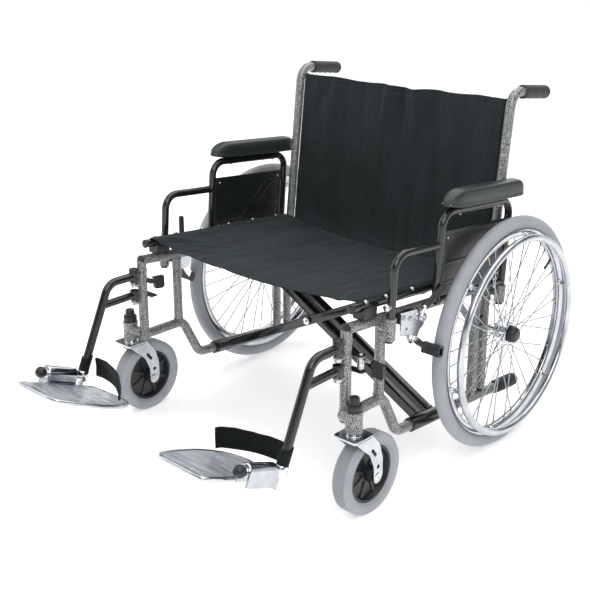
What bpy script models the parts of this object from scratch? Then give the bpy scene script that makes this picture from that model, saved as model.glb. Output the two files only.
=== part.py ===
"""Manual folding wheelchair, extra wide, at rest: open, footrests forward, armrests down.

Run: blender --background --python part.py
Metres, +Z up. The chair faces -Y, and +X is the sitter's left. Lengths along Y below are
counted from a datum on the front of the frame; the last step moves everything so that the
origin is the middle of the overall box, on the floor.
Seat rails, lower tubes, armrests and cross brace lie in a frame pitched back by PITCH.
"""
import bpy
import bmesh
from math import cos, sin, pi, radians, sqrt, atan2
from mathutils import Matrix, Vector

# ---------------------------------------------------------------- driving dimensions
PITCH = radians(4.3)          # backward pitch of the seat rails
MID_Y = 0.0711                # datum to the middle of the overall length
HALF_W = 0.357                # middle plane to the plane of a side frame
TUBE_R = 0.013                # main frame tube
REAR_R = 0.0125               # rear post and back cane
RAIL_R = 0.011                # seat rail
ARM_R = 0.010                 # armrest tube
GAP = 0.0005                  # least clearance between neighbouring pieces

RAIL_Z = 0.482                # seat rail axis, pitched frame
TOP_Z = 0.439                 # upper frame tube axis, pitched frame
LOW_Z = 0.131                 # lower frame tube axis, pitched frame
RAIL_Y = (-0.163, 0.381)      # ends of a seat rail, pitched frame
POST_Y = -0.143               # front post
POST2_Y = -0.022              # second post
REAR_Y = 0.373                # rear post
CANE_Y = 0.418                # lower leg of the back cane
CANE_LEAN = 0.11              # run over rise of the upper cane
CANE_TOP_Z = 0.903
GRIP_END_Y = 0.642

WHEEL_Y, WHEEL_R, WHEEL_X = 0.3985, 0.305, 0.433
HAND_RIM_X, HAND_RIM_R, HAND_RIM_TUBE = 0.471, 0.255, 0.009
AXLE_R = 0.006
SPOKES = 16

CASTER_X, CASTER_Y, CASTER_R = 0.397, -0.159, 0.100
TRAIL = 0.048                 # caster axle behind its stem
CASTER_HALF = 0.0235          # half width of a caster tyre

ARMREST_X = 0.393
ARM_FRONT_Y, ARM_LOOP_Y, ARM_REAR_Y = -0.066, 0.105, 0.397
ARM_CUT_Z, ARM_LOOP_Z, ARM_BASE_Z = 0.596, 0.672, 0.458
BUTTON_Z = 0.478
PAD_Z = (0.6826, 0.726)

SLEEVE_Y = (0.095, 0.285)     # cross brace sleeves, pitched frame
BARS_A = (0.112, 0.225)       # bars of brace arm A
BARS_B = (0.144, 0.193)       # bars of brace arm B
BAR_W, BAR_H = 0.022, 0.024

PIN_Y = -0.171                # swing-away pin of a footrest hanger
HANGER_R = 0.011
HANGER_SLOPE = radians(23.7)  # lower hanger tube from the vertical
PLATE_TILT = radians(22.1)    # footplate, front up
FOOT_Y, FOOT_Z = -0.3597, 0.168    # where the footplate's top meets the hanger axis
PLATE_T = 0.010               # footplate
FLIP_C = 0.0195               # hinge barrel above the footplate's top
BARREL_R, SADDLE_R = 0.0125, 0.0195
BARREL_A = (0.0285, 0.1180)   # ends of the saddle, forward of the hanger

BRAKE_PIVOT = (0.072, 0.432)
SHOE_PIVOT = (0.045, 0.385)
SHOE_AT = (0.0850, 0.3525)
BRAKE_X = 0.412               # plane of the brake handle
BRAKE_OFFSET = 0.025          # handle's line from the pivot

LATCH_X, LATCH_Y = 0.380, -0.119

PC, PS = cos(PITCH), sin(PITCH)
UP = Vector((0, PS, PC))
BACK = Vector((0, PC, -PS))


# ---------------------------------------------------------------- helpers
def clear_scene():
    for obj in list(bpy.data.objects):
        bpy.data.objects.remove(obj, do_unlink=True)


def tilted(x, y, z):
    """A point given in the pitched frame."""
    return Vector((x, y * PC + z * PS, -y * PS + z * PC))


def material(name, colour, rough=0.5, metal=0.0):
    found = bpy.data.materials.get(name)
    if found:
        return found
    mat = bpy.data.materials.new(name)
    mat.use_nodes = True
    shader = mat.node_tree.nodes["Principled BSDF"]
    shader.inputs["Base Color"].default_value = (*colour, 1)
    shader.inputs["Roughness"].default_value = rough
    shader.inputs["Metallic"].default_value = metal
    mat.diffuse_color = (*colour, 1)
    return mat


def new_object(name, points, faces):
    mesh = bpy.data.meshes.new(name)
    mesh.from_pydata([tuple(p) for p in points], [], faces)
    mesh.update()
    bm = bmesh.new()
    bm.from_mesh(mesh)
    bmesh.ops.recalc_face_normals(bm, faces=bm.faces)
    bm.to_mesh(mesh)
    bm.free()
    obj = bpy.data.objects.new(name, mesh)
    bpy.context.scene.collection.objects.link(obj)
    return obj


def rounded_path(points, radius, steps=4):
    """The polyline with each inner corner replaced by an arc."""
    points = [Vector(p) for p in points]
    out = [points[0]]
    for before, corner, after in zip(points, points[1:], points[2:]):
        a, b = (before - corner).normalized(), (after - corner).normalized()
        half = a.angle(b) / 2
        run = radius * cos(half) / sin(half)
        middle = (a + b).normalized()
        centre = corner + middle * (radius / sin(half))
        start, end = corner + a * run - centre, corner + b * run - centre
        for k in range(steps + 1):
            out.append(centre + start.lerp(end, k / steps).normalized() * radius)
    return out + [points[-1]]


def sweep(name, path, radius, sides=10, ring=None):
    """A solid bar along a path. ring gives another section as (side, up) pairs."""
    path = [Vector(p) for p in path]
    radii = radius if isinstance(radius, (list, tuple)) else [radius] * len(path)
    if ring is None:
        ring = [(cos(2 * pi * (k + 0.5) / sides), sin(2 * pi * (k + 0.5) / sides)) for k in range(sides)]
    tangents = [(b - a).normalized() for a, b in zip(path, path[1:])]
    tangents = [tangents[0]] + [(a + b).normalized() for a, b in zip(tangents, tangents[1:])] + [tangents[-1]]
    side = Vector((1, 0, 0)) if abs(tangents[0].x) < 0.9 else Vector((0, 1, 0))
    points = []
    for i, (at, along) in enumerate(zip(path, tangents)):
        side = (side - along * side.dot(along)).normalized()
        over = along.cross(side)
        stretch = 1.0
        if 0 < i < len(path) - 1:
            stretch = 1 / max(0.5, along.dot((path[i + 1] - at).normalized()))
        bend = (path[i + 1] - at).normalized() - (at - path[i - 1]).normalized() if stretch > 1.0001 else None
        for u, v in ring:
            offset = side * (u * radii[i]) + over * (v * radii[i])
            if bend is not None and bend.length > 1e-6:
                axis = bend.normalized()
                offset += axis * (offset.dot(axis) * (stretch - 1))
            points.append(at + offset)
    n = len(ring)
    faces = [(i * n + k, i * n + (k + 1) % n, (i + 1) * n + (k + 1) % n, (i + 1) * n + k)
             for i in range(len(path) - 1) for k in range(n)]
    faces += [tuple(range(n))[::-1], tuple(range((len(path) - 1) * n, len(path) * n))]
    return new_object(name, points, faces)


def rod(name, start, end, radius, sides=12):
    return sweep(name, [start, end], radius, sides)


def box(name, low, high, pitched=False):
    corners = [(x, y, z) for x in (low[0], high[0]) for y in (low[1], high[1]) for z in (low[2], high[2])]
    if pitched:
        corners = [tilted(*c) for c in corners]
    faces = [(0, 1, 3, 2), (4, 6, 7, 5), (0, 4, 5, 1), (2, 3, 7, 6), (0, 2, 6, 4), (1, 5, 7, 3)]
    return new_object(name, corners, faces)


def prism(name, outline, place, low, high):
    """An outline of (u, v) pairs pushed from low to high; place turns (u, v, w) into a point."""
    n = len(outline)
    points = [place(u, v, w) for w in (low, high) for u, v in outline]
    faces = [(k, (k + 1) % n, n + (k + 1) % n, n + k) for k in range(n)]
    faces += [tuple(range(n)), tuple(range(n, 2 * n))]
    return new_object(name, points, faces)


def lathe(name, profile, centre, segments=32, axis_turn=None, start=-pi / 2):
    """A ring from a closed (along, radius) profile, turned about the X axis through centre."""
    n = len(profile)
    points = []
    for k in range(segments):
        angle = start + 2 * pi * k / segments
        for along, radius in profile:
            point = Vector((along, radius * cos(angle), radius * sin(angle)))
            points.append(Vector(centre) + (axis_turn @ point if axis_turn else point))
    faces = [(i * n + k, i * n + (k + 1) % n, ((i + 1) % segments) * n + (k + 1) % n, ((i + 1) % segments) * n + k)
             for i in range(segments) for k in range(n)]
    return new_object(name, points, faces)


def boolean(base, others, operation):
    """Applies a union or difference and removes the helpers."""
    for other in others:
        modifier = base.modifiers.new(operation.lower(), "BOOLEAN")
        modifier.operation = operation
        modifier.solver = "EXACT"
        modifier.object = other
    bpy.context.view_layer.update()
    graph = bpy.context.evaluated_depsgraph_get()
    mesh = bpy.data.meshes.new_from_object(base.evaluated_get(graph))
    base.modifiers.clear()
    old = base.data
    base.data = mesh
    bpy.data.meshes.remove(old)
    for other in others:
        bpy.data.objects.remove(other, do_unlink=True)
    bm = bmesh.new()
    bm.from_mesh(base.data)
    bmesh.ops.remove_doubles(bm, verts=bm.verts, dist=1e-6)
    bmesh.ops.dissolve_degenerate(bm, edges=bm.edges, dist=1e-6)
    bmesh.ops.dissolve_limit(bm, angle_limit=radians(0.5), verts=bm.verts, edges=bm.edges)
    bmesh.ops.triangulate(bm, faces=bm.faces)
    bm.to_mesh(base.data)
    bm.free()
    return base


def union(base, *others):
    return boolean(base, others, "UNION")


def cut(base, *others):
    return boolean(base, others, "DIFFERENCE")


def finish(obj, name, mat, origin, smooth=True):
    """Names the object, puts its origin on its joint axis and shades it."""
    origin = Vector(origin)
    obj.name = name
    obj.data.name = name
    obj.data.transform(Matrix.Translation(-origin))
    obj.location = origin
    obj.data.materials.clear()
    obj.data.materials.append(mat)
    if smooth:
        obj.data.shade_smooth()
        obj.data.set_sharp_from_angle(angle=radians(35))
    return obj


def span(side, inner, outer):
    """The low and high x of a stretch given outward from the middle."""
    return sorted((side * inner, side * outer))


def side_name(side):
    return "L" if side > 0 else "R"


# ---------------------------------------------------------------- materials
clear_scene()
SILVER = material("hammertone_silver", (0.42, 0.43, 0.43), 0.4, 0.7)
BLACK = material("gloss_black_paint", (0.02, 0.022, 0.022), 0.25, 0.2)
CHROME = material("chrome", (0.78, 0.79, 0.80), 0.12, 1.0)
ALUMINIUM = material("cast_aluminium", (0.70, 0.72, 0.74), 0.35, 1.0)
NYLON = material("black_nylon", (0.035, 0.042, 0.042), 0.8)
WEBBING = material("black_webbing", (0.02, 0.022, 0.022), 0.9)
PU_PAD = material("moulded_pad", (0.05, 0.06, 0.058), 0.5)
PLASTIC = material("black_plastic", (0.025, 0.028, 0.028), 0.5)
RUBBER = material("black_rubber", (0.03, 0.032, 0.032), 0.8)
GREY_TYRE = material("grey_tyre", (0.50, 0.53, 0.56), 0.6)


# ---------------------------------------------------------------- side frames
def caster_housing_parts(side):
    x = side * CASTER_X
    outer = rod("housing", (x, CASTER_Y, 0.222), (x, CASTER_Y, 0.272), 0.0200, 16)
    bridge = box("bridge", (min(side * HALF_W, x), -0.165, 0.232), (max(side * HALF_W, x), -0.139, 0.266))
    bore = rod("bore", (x, CASTER_Y, 0.20), (x, CASTER_Y, 0.29), 0.0100, 16)
    return [outer, bridge], [bore]


def socket_parts(side):
    """The two armrest sockets, with their brackets, and their bores."""
    x = side * ARMREST_X
    solids, bores = [], []
    for y, low, high in ((ARM_FRONT_Y, 0.399, 0.4515), (ARM_REAR_Y, 0.402, 0.448)):
        solids.append(rod("socket", tilted(x, y, low), tilted(x, y, high), 0.0138, 16))
        bores.append(rod("bore", tilted(x, y, low - 0.02), tilted(x, y, high + 0.02), 0.0106, 16))
    inner, outer = sorted((side * (HALF_W + 0.004), side * 0.386))
    solids.append(box("bracket", (inner, -0.074, 0.428), (outer, -0.058, 0.446), True))
    inner, outer = sorted((side * (HALF_W + 0.004), side * 0.392))
    solids.append(box("bracket", (inner, 0.350, 0.428), (outer, 0.372, 0.444), True))
    inner, outer = sorted((side * 0.3790, side * 0.392))
    solids.append(box("bracket", (inner, 0.360, 0.4285), (outer, 0.392, 0.4435), True))
    return solids, bores


def side_frame(side):
    x = side * HALF_W
    lower = rounded_path([(x, POST_Y, 0.239), (x, -0.008, 0.239), tilted(x, 0.040, LOW_Z),
                          tilted(x, 0.552, LOW_Z)], 0.035)
    frame = sweep("frame", lower, TUBE_R)
    top_front, top_rear = tilted(x, -0.177, TOP_Z), tilted(x, 0.372, TOP_Z)
    parts = [
        rod("top", top_front, top_rear, TUBE_R),
        rod("post", (x, POST_Y, 0.227), (x, POST_Y, 0.450), TUBE_R),
        rod("post2", (x, POST2_Y, 0.238), (x, POST2_Y, 0.440), TUBE_R),
        rod("rear", (x, REAR_Y, 0.104), (x, REAR_Y, 0.411), REAR_R),
        rod("gusset", (x, 0.272, 0.418), (x, REAR_Y, 0.305), 0.009, 8),
        box("clamp", (x - 0.016, REAR_Y, 0.283), (x + 0.016, CANE_Y - REAR_R - 0.0008, 0.327)),
        rod("axle", (x, WHEEL_Y, 0.305), (side * 0.4515, WHEEL_Y, 0.305), AXLE_R, 12),
    ]
    for low in (0.388, 0.338):
        parts.append(box("tab", (x - 0.011, PIN_Y - 0.009, low), (x + 0.011, POST_Y, low + 0.008)))
        parts.append(rod("pin", (x, PIN_Y, low + 0.004), (x, PIN_Y, low + 0.040), 0.006, 12))
    for low in (0.349, 0.388):
        inner, outer = span(side, 0.335, 0.389)
        parts.append(box("latch_plate", (inner, -0.1325, low), (outer, -0.110, low + 0.005)))
    parts.append(rod("latch_pin", (side * LATCH_X, LATCH_Y, 0.351), (side * LATCH_X, LATCH_Y, 0.390), 0.0035, 10))
    solids, bores = caster_housing_parts(side)
    more, holes = socket_parts(side)
    union(frame, *(parts + solids + more))
    cut(frame, *(bores + holes))
    return finish(frame, "side_frame_" + side_name(side), SILVER, (x, POST_Y, 0.0))


def cane_line(z):
    """Y of the upper cane's axis at height z."""
    return 0.437 + CANE_LEAN * (z - 0.48)


def back_cane(side):
    x = side * HALF_W
    corner = (x, cane_line(CANE_TOP_Z), CANE_TOP_Z)
    grip = (x, GRIP_END_Y, CANE_TOP_Z - CANE_LEAN * (GRIP_END_Y - corner[1]))
    foot = Vector((x, CANE_Y, 0.119))
    knee = Vector((x, CANE_Y, 0.307))
    path = [foot] + rounded_path([knee, corner, grip], 0.040, 5)
    lean_foot = Vector((x, cane_line(0.44), 0.44))
    path = [foot, Vector((x, CANE_Y, 0.36)), lean_foot] + rounded_path([lean_foot, corner, grip], 0.040, 5)[1:]
    cane = sweep("cane", path, REAR_R)
    return finish(cane, "back_cane_" + side_name(side), SILVER, (x, CANE_Y, 0.307))


def grip_point(side, y):
    return Vector((side * HALF_W, y, CANE_TOP_Z - CANE_LEAN * (y - cane_line(CANE_TOP_Z))))


def push_grip(side):
    ends = [0.530, 0.536, 0.641, 0.650]
    radii = [0.0155, 0.0175, 0.0175, 0.0140]
    grip = sweep("grip", [grip_point(side, y) for y in ends], radii, 16)
    cut(grip, rod("bore", grip_point(side, 0.50), grip_point(side, GRIP_END_Y + 0.0012), 0.0132, 16))
    return finish(grip, "push_grip_" + side_name(side), RUBBER, grip_point(side, 0.60))


def tip_cap(side):
    x = side * HALF_W
    cap = sweep("tip", [tilted(x, y, LOW_Z) for y in (0.478, 0.484, 0.574, 0.582)],
                [0.0165, 0.0180, 0.0180, 0.0150], 16)
    cut(cap, rod("bore", tilted(x, 0.46, LOW_Z), tilted(x, 0.5535, LOW_Z), 0.0138, 16))
    return finish(cap, "tipping_lever_tip_" + side_name(side), RUBBER, tilted(x, 0.53, LOW_Z))


def seat_guide(side):
    x = side * HALF_W
    guide = box("guide", (x - 0.017, -0.137, 0.4525), (x + 0.017, -0.093, 0.4818), True)
    cut(guide, rod("groove", tilted(x, -0.16, RAIL_Z), tilted(x, -0.07, RAIL_Z), 0.0122, 16))
    return finish(guide, "seat_guide_" + side_name(side), PLASTIC, tilted(x, -0.115, TOP_Z), False)


# ---------------------------------------------------------------- cross brace and seat
def brace_arm(name, side, bars):
    """An arm from the lower tube on one side to the seat rail on the other."""
    low, high = tilted(side * HALF_W, 0, LOW_Z), tilted(-side * HALF_W, 0, RAIL_Z)
    along = (high - low).normalized()
    over = along.cross(BACK).normalized()
    sleeve = rod("sleeve", low + BACK * SLEEVE_Y[0], low + BACK * SLEEVE_Y[1], 0.0180, 16)
    ends = []
    for y in bars:
        ring = [(-BAR_W / 2, -BAR_H / 2), (BAR_W / 2, -BAR_H / 2), (BAR_W / 2, BAR_H / 2), (-BAR_W / 2, BAR_H / 2)]
        points = [at + BACK * (y + u) + over * v for at in (low, high) for u, v in ring]
        faces = [(k, (k + 1) % 4, 4 + (k + 1) % 4, 4 + k) for k in range(4)] + [(0, 1, 2, 3), (4, 5, 6, 7)]
        ends.append(new_object("bar", points, faces))
    union(sleeve, *ends)
    centre = (low + high) / 2
    cut(sleeve,
        rod("bore", low + BACK * 0.05, low + BACK * 0.33, 0.0140, 16),
        rod("rail", high + BACK * 0.05, high + BACK * 0.33, 0.0117, 16),
        rod("hole", centre + BACK * 0.05, centre + BACK * 0.33, 0.0067, 12))
    return finish(sleeve, name, BLACK, low + BACK * 0.19, False)


def pivot_bolt():
    centre = tilted(0, 0, (LOW_Z + RAIL_Z) / 2)
    path = [centre + BACK * y for y in (0.0925, 0.1000, 0.1001, 0.2369, 0.2370, 0.2440)]
    bolt = sweep("bolt", path, [0.0110, 0.0110, 0.0060, 0.0060, 0.0110, 0.0110], 12)
    return finish(bolt, "brace_pivot_bolt", CHROME, centre + BACK * 0.17)


def seat_rail(side):
    x = side * HALF_W
    rail = rod("rail", tilted(x, RAIL_Y[0], RAIL_Z), tilted(x, RAIL_Y[1], RAIL_Z), RAIL_R, 12)
    return finish(rail, "seat_rail_" + side_name(side), BLACK, tilted(x, 0.19, RAIL_Z))


def sheet_solid(name, columns, rows, point, normal, thickness):
    """A closed sheet of even thickness about a surface point(column, row)."""
    n = len(rows)
    points = []
    for half in (thickness / 2, -thickness / 2):
        points += [Vector(point(c, r)) + Vector(normal) * half for c in columns for r in rows]
    size = len(columns) * n
    faces = []
    for i in range(len(columns) - 1):
        for k in range(n - 1):
            a, b, c, d = i * n + k, i * n + k + 1, (i + 1) * n + k + 1, (i + 1) * n + k
            faces += [(a, b, c, d), (size + a, size + d, size + c, size + b)]
    edge = [i * n for i in range(len(columns))] + [(len(columns) - 1) * n + k for k in range(1, n)]
    edge += [i * n + n - 1 for i in range(len(columns) - 2, -1, -1)] + list(range(n - 2, 0, -1))
    faces += [(a, b, size + b, size + a) for a, b in zip(edge, edge[1:] + edge[:1])]
    return new_object(name, points, faces)


def seat_sling():
    columns = [-0.364, -0.350, -0.30, -0.22, -0.12, 0.0, 0.12, 0.22, 0.30, 0.350, 0.364]

    def surface(x, y):
        return tilted(x, y, 0.4700 + 0.0262 * min(1.0, abs(x) / 0.350) ** 2)

    sling = sheet_solid("sling", columns, [-0.147, 0.115, 0.374], surface, UP, 0.005)
    return finish(sling, "seat_sling", NYLON, tilted(-HALF_W, 0.115, RAIL_Z))


def back_sling():
    columns = [-0.3435, -0.26, -0.16, -0.06, 0.06, 0.16, 0.26, 0.3435]

    def surface(x, z):
        bulge = 0.022 * (1 - (x / 0.3435) ** 2)
        return (x, cane_line(z) + bulge, z)

    sling = sheet_solid("sling", columns, [0.418, 0.650, 0.885], surface, (0, 1, 0), 0.005)
    return finish(sling, "back_sling", NYLON, (HALF_W, cane_line(0.650), 0.650))


# ---------------------------------------------------------------- armrests
def armrest_frame(side):
    x = side * ARMREST_X
    loop = rounded_path([tilted(x, ARM_LOOP_Y, ARM_BASE_Z), tilted(x, ARM_LOOP_Y, ARM_LOOP_Z),
                         tilted(x, ARM_REAR_Y, ARM_LOOP_Z), tilted(x, ARM_REAR_Y, 0.396)], 0.038)
    desk = rounded_path([tilted(x, ARM_FRONT_Y, 0.393), tilted(x, ARM_FRONT_Y, ARM_CUT_Z),
                         tilted(x, ARM_LOOP_Y, ARM_CUT_Z)], 0.038)
    frame = sweep("loop", loop, ARM_R)
    union(frame, sweep("desk", desk, ARM_R),
          rod("base", tilted(x, ARM_LOOP_Y, ARM_BASE_Z), tilted(x, ARM_REAR_Y, ARM_BASE_Z), 0.0085, 10))
    cut(frame, rod("hole", tilted(x, ARM_FRONT_Y - 0.02, BUTTON_Z), tilted(x, ARM_FRONT_Y - 0.0015, BUTTON_Z), 0.0036, 10))
    return finish(frame, "armrest_frame_" + side_name(side), BLACK, tilted(x, ARM_FRONT_Y, 0.42))


def armrest_pad(side):
    """Eight-sided sections at stations (y, half width, low, high), pitched frame."""
    x = side * (ARMREST_X + 0.005)
    low, high = PAD_Z
    stations = [(0.103, 0.010, low + 0.008, high - 0.020), (0.112, 0.0175, low + 0.002, high - 0.012),
                (0.135, 0.0225, low, high - 0.005), (0.175, 0.0250, low, high), (0.395, 0.0255, low, high),
                (0.420, 0.0235, low, high - 0.002), (0.431, 0.0160, low + 0.005, high - 0.008)]
    points = []
    for y, half, bottom, top in stations:
        middle, rise = (bottom + top) / 2, (top - bottom) / 2
        for u, v in ((1, 0.35), (0.72, 1), (-0.72, 1), (-1, 0.35), (-1, -0.55), (-0.8, -1), (0.8, -1), (1, -0.55)):
            points.append(tilted(x + u * half, y, middle + v * rise))
    faces = [(i * 8 + k, i * 8 + (k + 1) % 8, (i + 1) * 8 + (k + 1) % 8, (i + 1) * 8 + k)
             for i in range(len(stations) - 1) for k in range(8)]
    faces += [tuple(range(8)), tuple(range(len(points) - 8, len(points)))]
    pad = new_object("pad", points, faces)
    return finish(pad, "armrest_pad_" + side_name(side), PU_PAD, tilted(x, 0.27, low))


def skirt_guard(side):
    x = side * ARMREST_X
    outline = [(0.1175, 0.4690), (0.3845, 0.4690), (0.3845, 0.622), (0.378, 0.626), (0.124, 0.626), (0.1175, 0.620)]
    panel = prism("panel", outline, lambda y, z, w: tilted(x + w, y, z), -0.0030, 0.0030)
    return finish(panel, "skirt_guard_" + side_name(side), PLASTIC, tilted(x, 0.25, 0.54), False)


def armrest_button(side):
    x = side * ARMREST_X
    path = [tilted(x, ARM_FRONT_Y - d, BUTTON_Z) for d in (0.0070, 0.0151, 0.0152, 0.0165, 0.0215, 0.0240)]
    button = sweep("button", path, [0.0030, 0.0030, 0.0060, 0.0085, 0.0085, 0.0050], 12)
    return finish(button, "armrest_button_" + side_name(side), CHROME, tilted(x, ARM_FRONT_Y - 0.015, BUTTON_Z))


# ---------------------------------------------------------------- casters
def caster_fork(side):
    x, y = side * CASTER_X, CASTER_Y
    stem = rod("stem", (x, y, 0.206), (x, y, 0.298), 0.0090, 12)
    parts = [box("plate", (x - 0.034, y - 0.034, 0.208), (x + 0.034, y + 0.034, 0.214)),
             rod("race", (x, y, 0.210), (x, y, 0.2213), 0.0170, 16),
             rod("axle", (x - 0.037, y + TRAIL, CASTER_R), (x + 0.037, y + TRAIL, CASTER_R), 0.005, 10)]
    outline = [(-0.030, 0.209), (0.030, 0.209), (0.054, 0.180), (0.066, 0.140), (0.066, 0.098),
               (0.058, 0.085), (0.044, 0.082), (0.035, 0.090), (0.034, 0.128), (0.018, 0.165), (-0.012, 0.192)]
    for low in (-0.0335, 0.0295):
        parts.append(prism("leg", outline, lambda u, v, w: Vector((x + w, y + u, v)), low, low + 0.004))
    union(stem, *parts)
    return finish(stem, "caster_fork_" + side_name(side), CHROME, (x, y, 0.21))


def caster_cap(side):
    x, y = side * CASTER_X, CASTER_Y
    cap = sweep("cap", [(x, y, z) for z in (0.2726, 0.276, 0.288, 0.290, 0.304, 0.307)],
                [0.0165, 0.0180, 0.0180, 0.0125, 0.0120, 0.0090], 16)
    cut(cap, rod("bore", (x, y, 0.26), (x, y, 0.2990), 0.0096, 16))
    return finish(cap, "caster_cap_" + side_name(side), PLASTIC, (x, y, 0.28))


def caster_tyre(side):
    h, r = CASTER_HALF, CASTER_R
    profile = [(-h * 0.55, r), (h * 0.55, r), (h * 0.95, r - 0.010), (h, r - 0.022), (h * 0.7, 0.0700), (-h * 0.7, 0.0700),
               (-h, r - 0.022), (-h * 0.95, r - 0.010)]
    at = (side * CASTER_X, CASTER_Y + TRAIL, CASTER_R)
    return finish(lathe("tyre", profile, at, 24), "caster_tyre_" + side_name(side), GREY_TYRE, at)


def caster_rim(side):
    at = (side * CASTER_X, CASTER_Y + TRAIL, CASTER_R)
    profile = [(-0.0160, 0.0685), (0.0160, 0.0685), (0.0150, 0.0600), (0.0050, 0.0560), (0.0050, 0.0220), (0.0260, 0.0170),
               (0.0260, 0.0062), (-0.0260, 0.0062), (-0.0260, 0.0170), (-0.0050, 0.0220), (-0.0050, 0.0560), (-0.0150, 0.0600)]
    return finish(lathe("rim", profile, at, 16), "caster_rim_" + side_name(side), PLASTIC, at)


# ---------------------------------------------------------------- rear wheels
def rear_tyre(side):
    at = (side * WHEEL_X, WHEEL_Y, WHEEL_R)
    profile = [(0.0175 * sin(t), 0.2875 + 0.0175 * cos(t)) for t in [radians(a) for a in (-145, -90, -30, 30, 90, 145)]]
    return finish(lathe("tyre", profile, at, 40), "rear_tyre_" + side_name(side), GREY_TYRE, at)


def rear_wheel(side):
    at = Vector((side * WHEEL_X, WHEEL_Y, WHEEL_R))
    rim = lathe("rim", [(-0.0120, 0.2715), (0.0120, 0.2715), (0.0125, 0.2660), (0.0070, 0.2520), (-0.0070, 0.2520), (-0.0125, 0.2660)],
                at, 40)
    hub = lathe("hub", [(-0.0180, 0.0066), (-0.0180, 0.0280), (-0.0140, 0.0280), (-0.0120, 0.0150), (0.0120, 0.0150),
                        (0.0140, 0.0280), (0.0180, 0.0280), (0.0180, 0.0066)], at, 16)
    spokes = []
    for k in range(SPOKES):
        angle = 2 * pi * (k + 0.5) / SPOKES
        lean = angle + (0.55 if k % 2 else -0.55)
        flange = 0.0160 if k % 2 else -0.0160
        inner = at + Vector((flange, 0.0240 * cos(lean), 0.0240 * sin(lean)))
        outer = at + Vector((flange * 0.15, 0.2560 * cos(angle), 0.2560 * sin(angle)))
        spokes.append(rod("spoke", inner, outer, 0.0018, 5))
    union(rim, hub, *spokes)
    return finish(rim, "rear_wheel_" + side_name(side), CHROME, at)


def hand_rim(side):
    at = Vector((side * HAND_RIM_X, WHEEL_Y, WHEEL_R))
    r, t = HAND_RIM_R, HAND_RIM_TUBE
    ring = lathe("ring", [(t * cos(a), r + t * sin(a)) for a in [2 * pi * k / 6 for k in range(6)]], at, 40)
    stays = []
    for k in range(6):
        angle = 2 * pi * k / 6 + 0.3
        spot = Vector((0, r * cos(angle), r * sin(angle)))
        inner = at + spot + Vector((side * (WHEEL_X + 0.0132 - HAND_RIM_X), 0, 0))
        stays.append(rod("stay", inner, at + spot, 0.0045, 6))
    union(ring, *stays)
    return finish(ring, "hand_rim_" + side_name(side), CHROME, at)


def axle_cap(side):
    y = WHEEL_Y
    path = [(side * x, y, WHEEL_R) for x in (0.4520, 0.4640, 0.4700, 0.4725)]
    cap = sweep("cap", path, [0.0215, 0.0200, 0.0150, 0.0060], 16)
    return finish(cap, "axle_cap_" + side_name(side), PLASTIC, (side * WHEEL_X, y, WHEEL_R))


# ---------------------------------------------------------------- footrests
FORWARD = Vector((0, -cos(PLATE_TILT), sin(PLATE_TILT)))   # along the footplate hinge
LIFT = Vector((0, sin(PLATE_TILT), cos(PLATE_TILT)))       # square to the footplate, upwards
DOWN_TUBE = Vector((0, -sin(HANGER_SLOPE), -cos(HANGER_SLOPE)))


def foot_point(side, x, a, c):
    """A point at x outboard, a forward of the hanger axis and c above the footplate's plane."""
    return Vector((side * x, FOOT_Y, FOOT_Z)) + FORWARD * a + LIFT * c


def hanger_point(side, z):
    """A point on the lower hanger tube's axis at height z."""
    base = foot_point(side, HALF_W, 0, 0.055)
    return base + DOWN_TUBE * ((z - base.z) / DOWN_TUBE.z)


def footrest_hanger(side):
    x = side * HALF_W
    path = rounded_path([(x, PIN_Y, 0.413), hanger_point(side, 0.413), foot_point(side, HALF_W, 0, 0.055)], 0.040)
    hanger = sweep("hanger", path, HANGER_R)
    union(hanger,
          rod("strut", (x, PIN_Y, 0.361), hanger_point(side, 0.358), 0.0100, 12),
          rod("upper_eye", (x, PIN_Y, 0.3965), (x, PIN_Y, 0.4300), 0.0120, 12),
          rod("lower_eye", (x, PIN_Y, 0.3465), (x, PIN_Y, 0.3740), 0.0120, 12),
          rod("extension", foot_point(side, HALF_W, 0, 0.062), foot_point(side, HALF_W, 0, -0.020), 0.0080, 12))
    cut(hanger, rod("bore", (x, PIN_Y, 0.330), (x, PIN_Y, 0.4290), 0.0066, 12))
    return finish(hanger, "footrest_hanger_" + side_name(side), BLACK, (x, PIN_Y, 0.39))


def hinge_barrel(side):
    """The collar on the hanger's extension, with the barrel and knob the footplate turns on."""
    collar = rod("collar", foot_point(side, HALF_W, 0, FLIP_C - 0.013), foot_point(side, HALF_W, 0, FLIP_C + 0.013),
                 0.0150, 12)
    stations = (0.010, 0.1225, 0.1226, 0.1260, 0.1310, 0.1390, 0.1450)
    radii = [BARREL_R, BARREL_R, 0.0070, 0.0125, 0.0145, 0.0125, 0.0050]
    path = [foot_point(side, HALF_W, a, FLIP_C) for a in stations]
    union(collar, sweep("barrel", path, radii, 12))
    cut(collar, rod("bore", foot_point(side, HALF_W, 0, -0.02), foot_point(side, HALF_W, 0, 0.06), 0.0086, 12))
    return finish(collar, "footplate_hinge_" + side_name(side), CHROME, foot_point(side, HALF_W, 0, FLIP_C))


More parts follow.
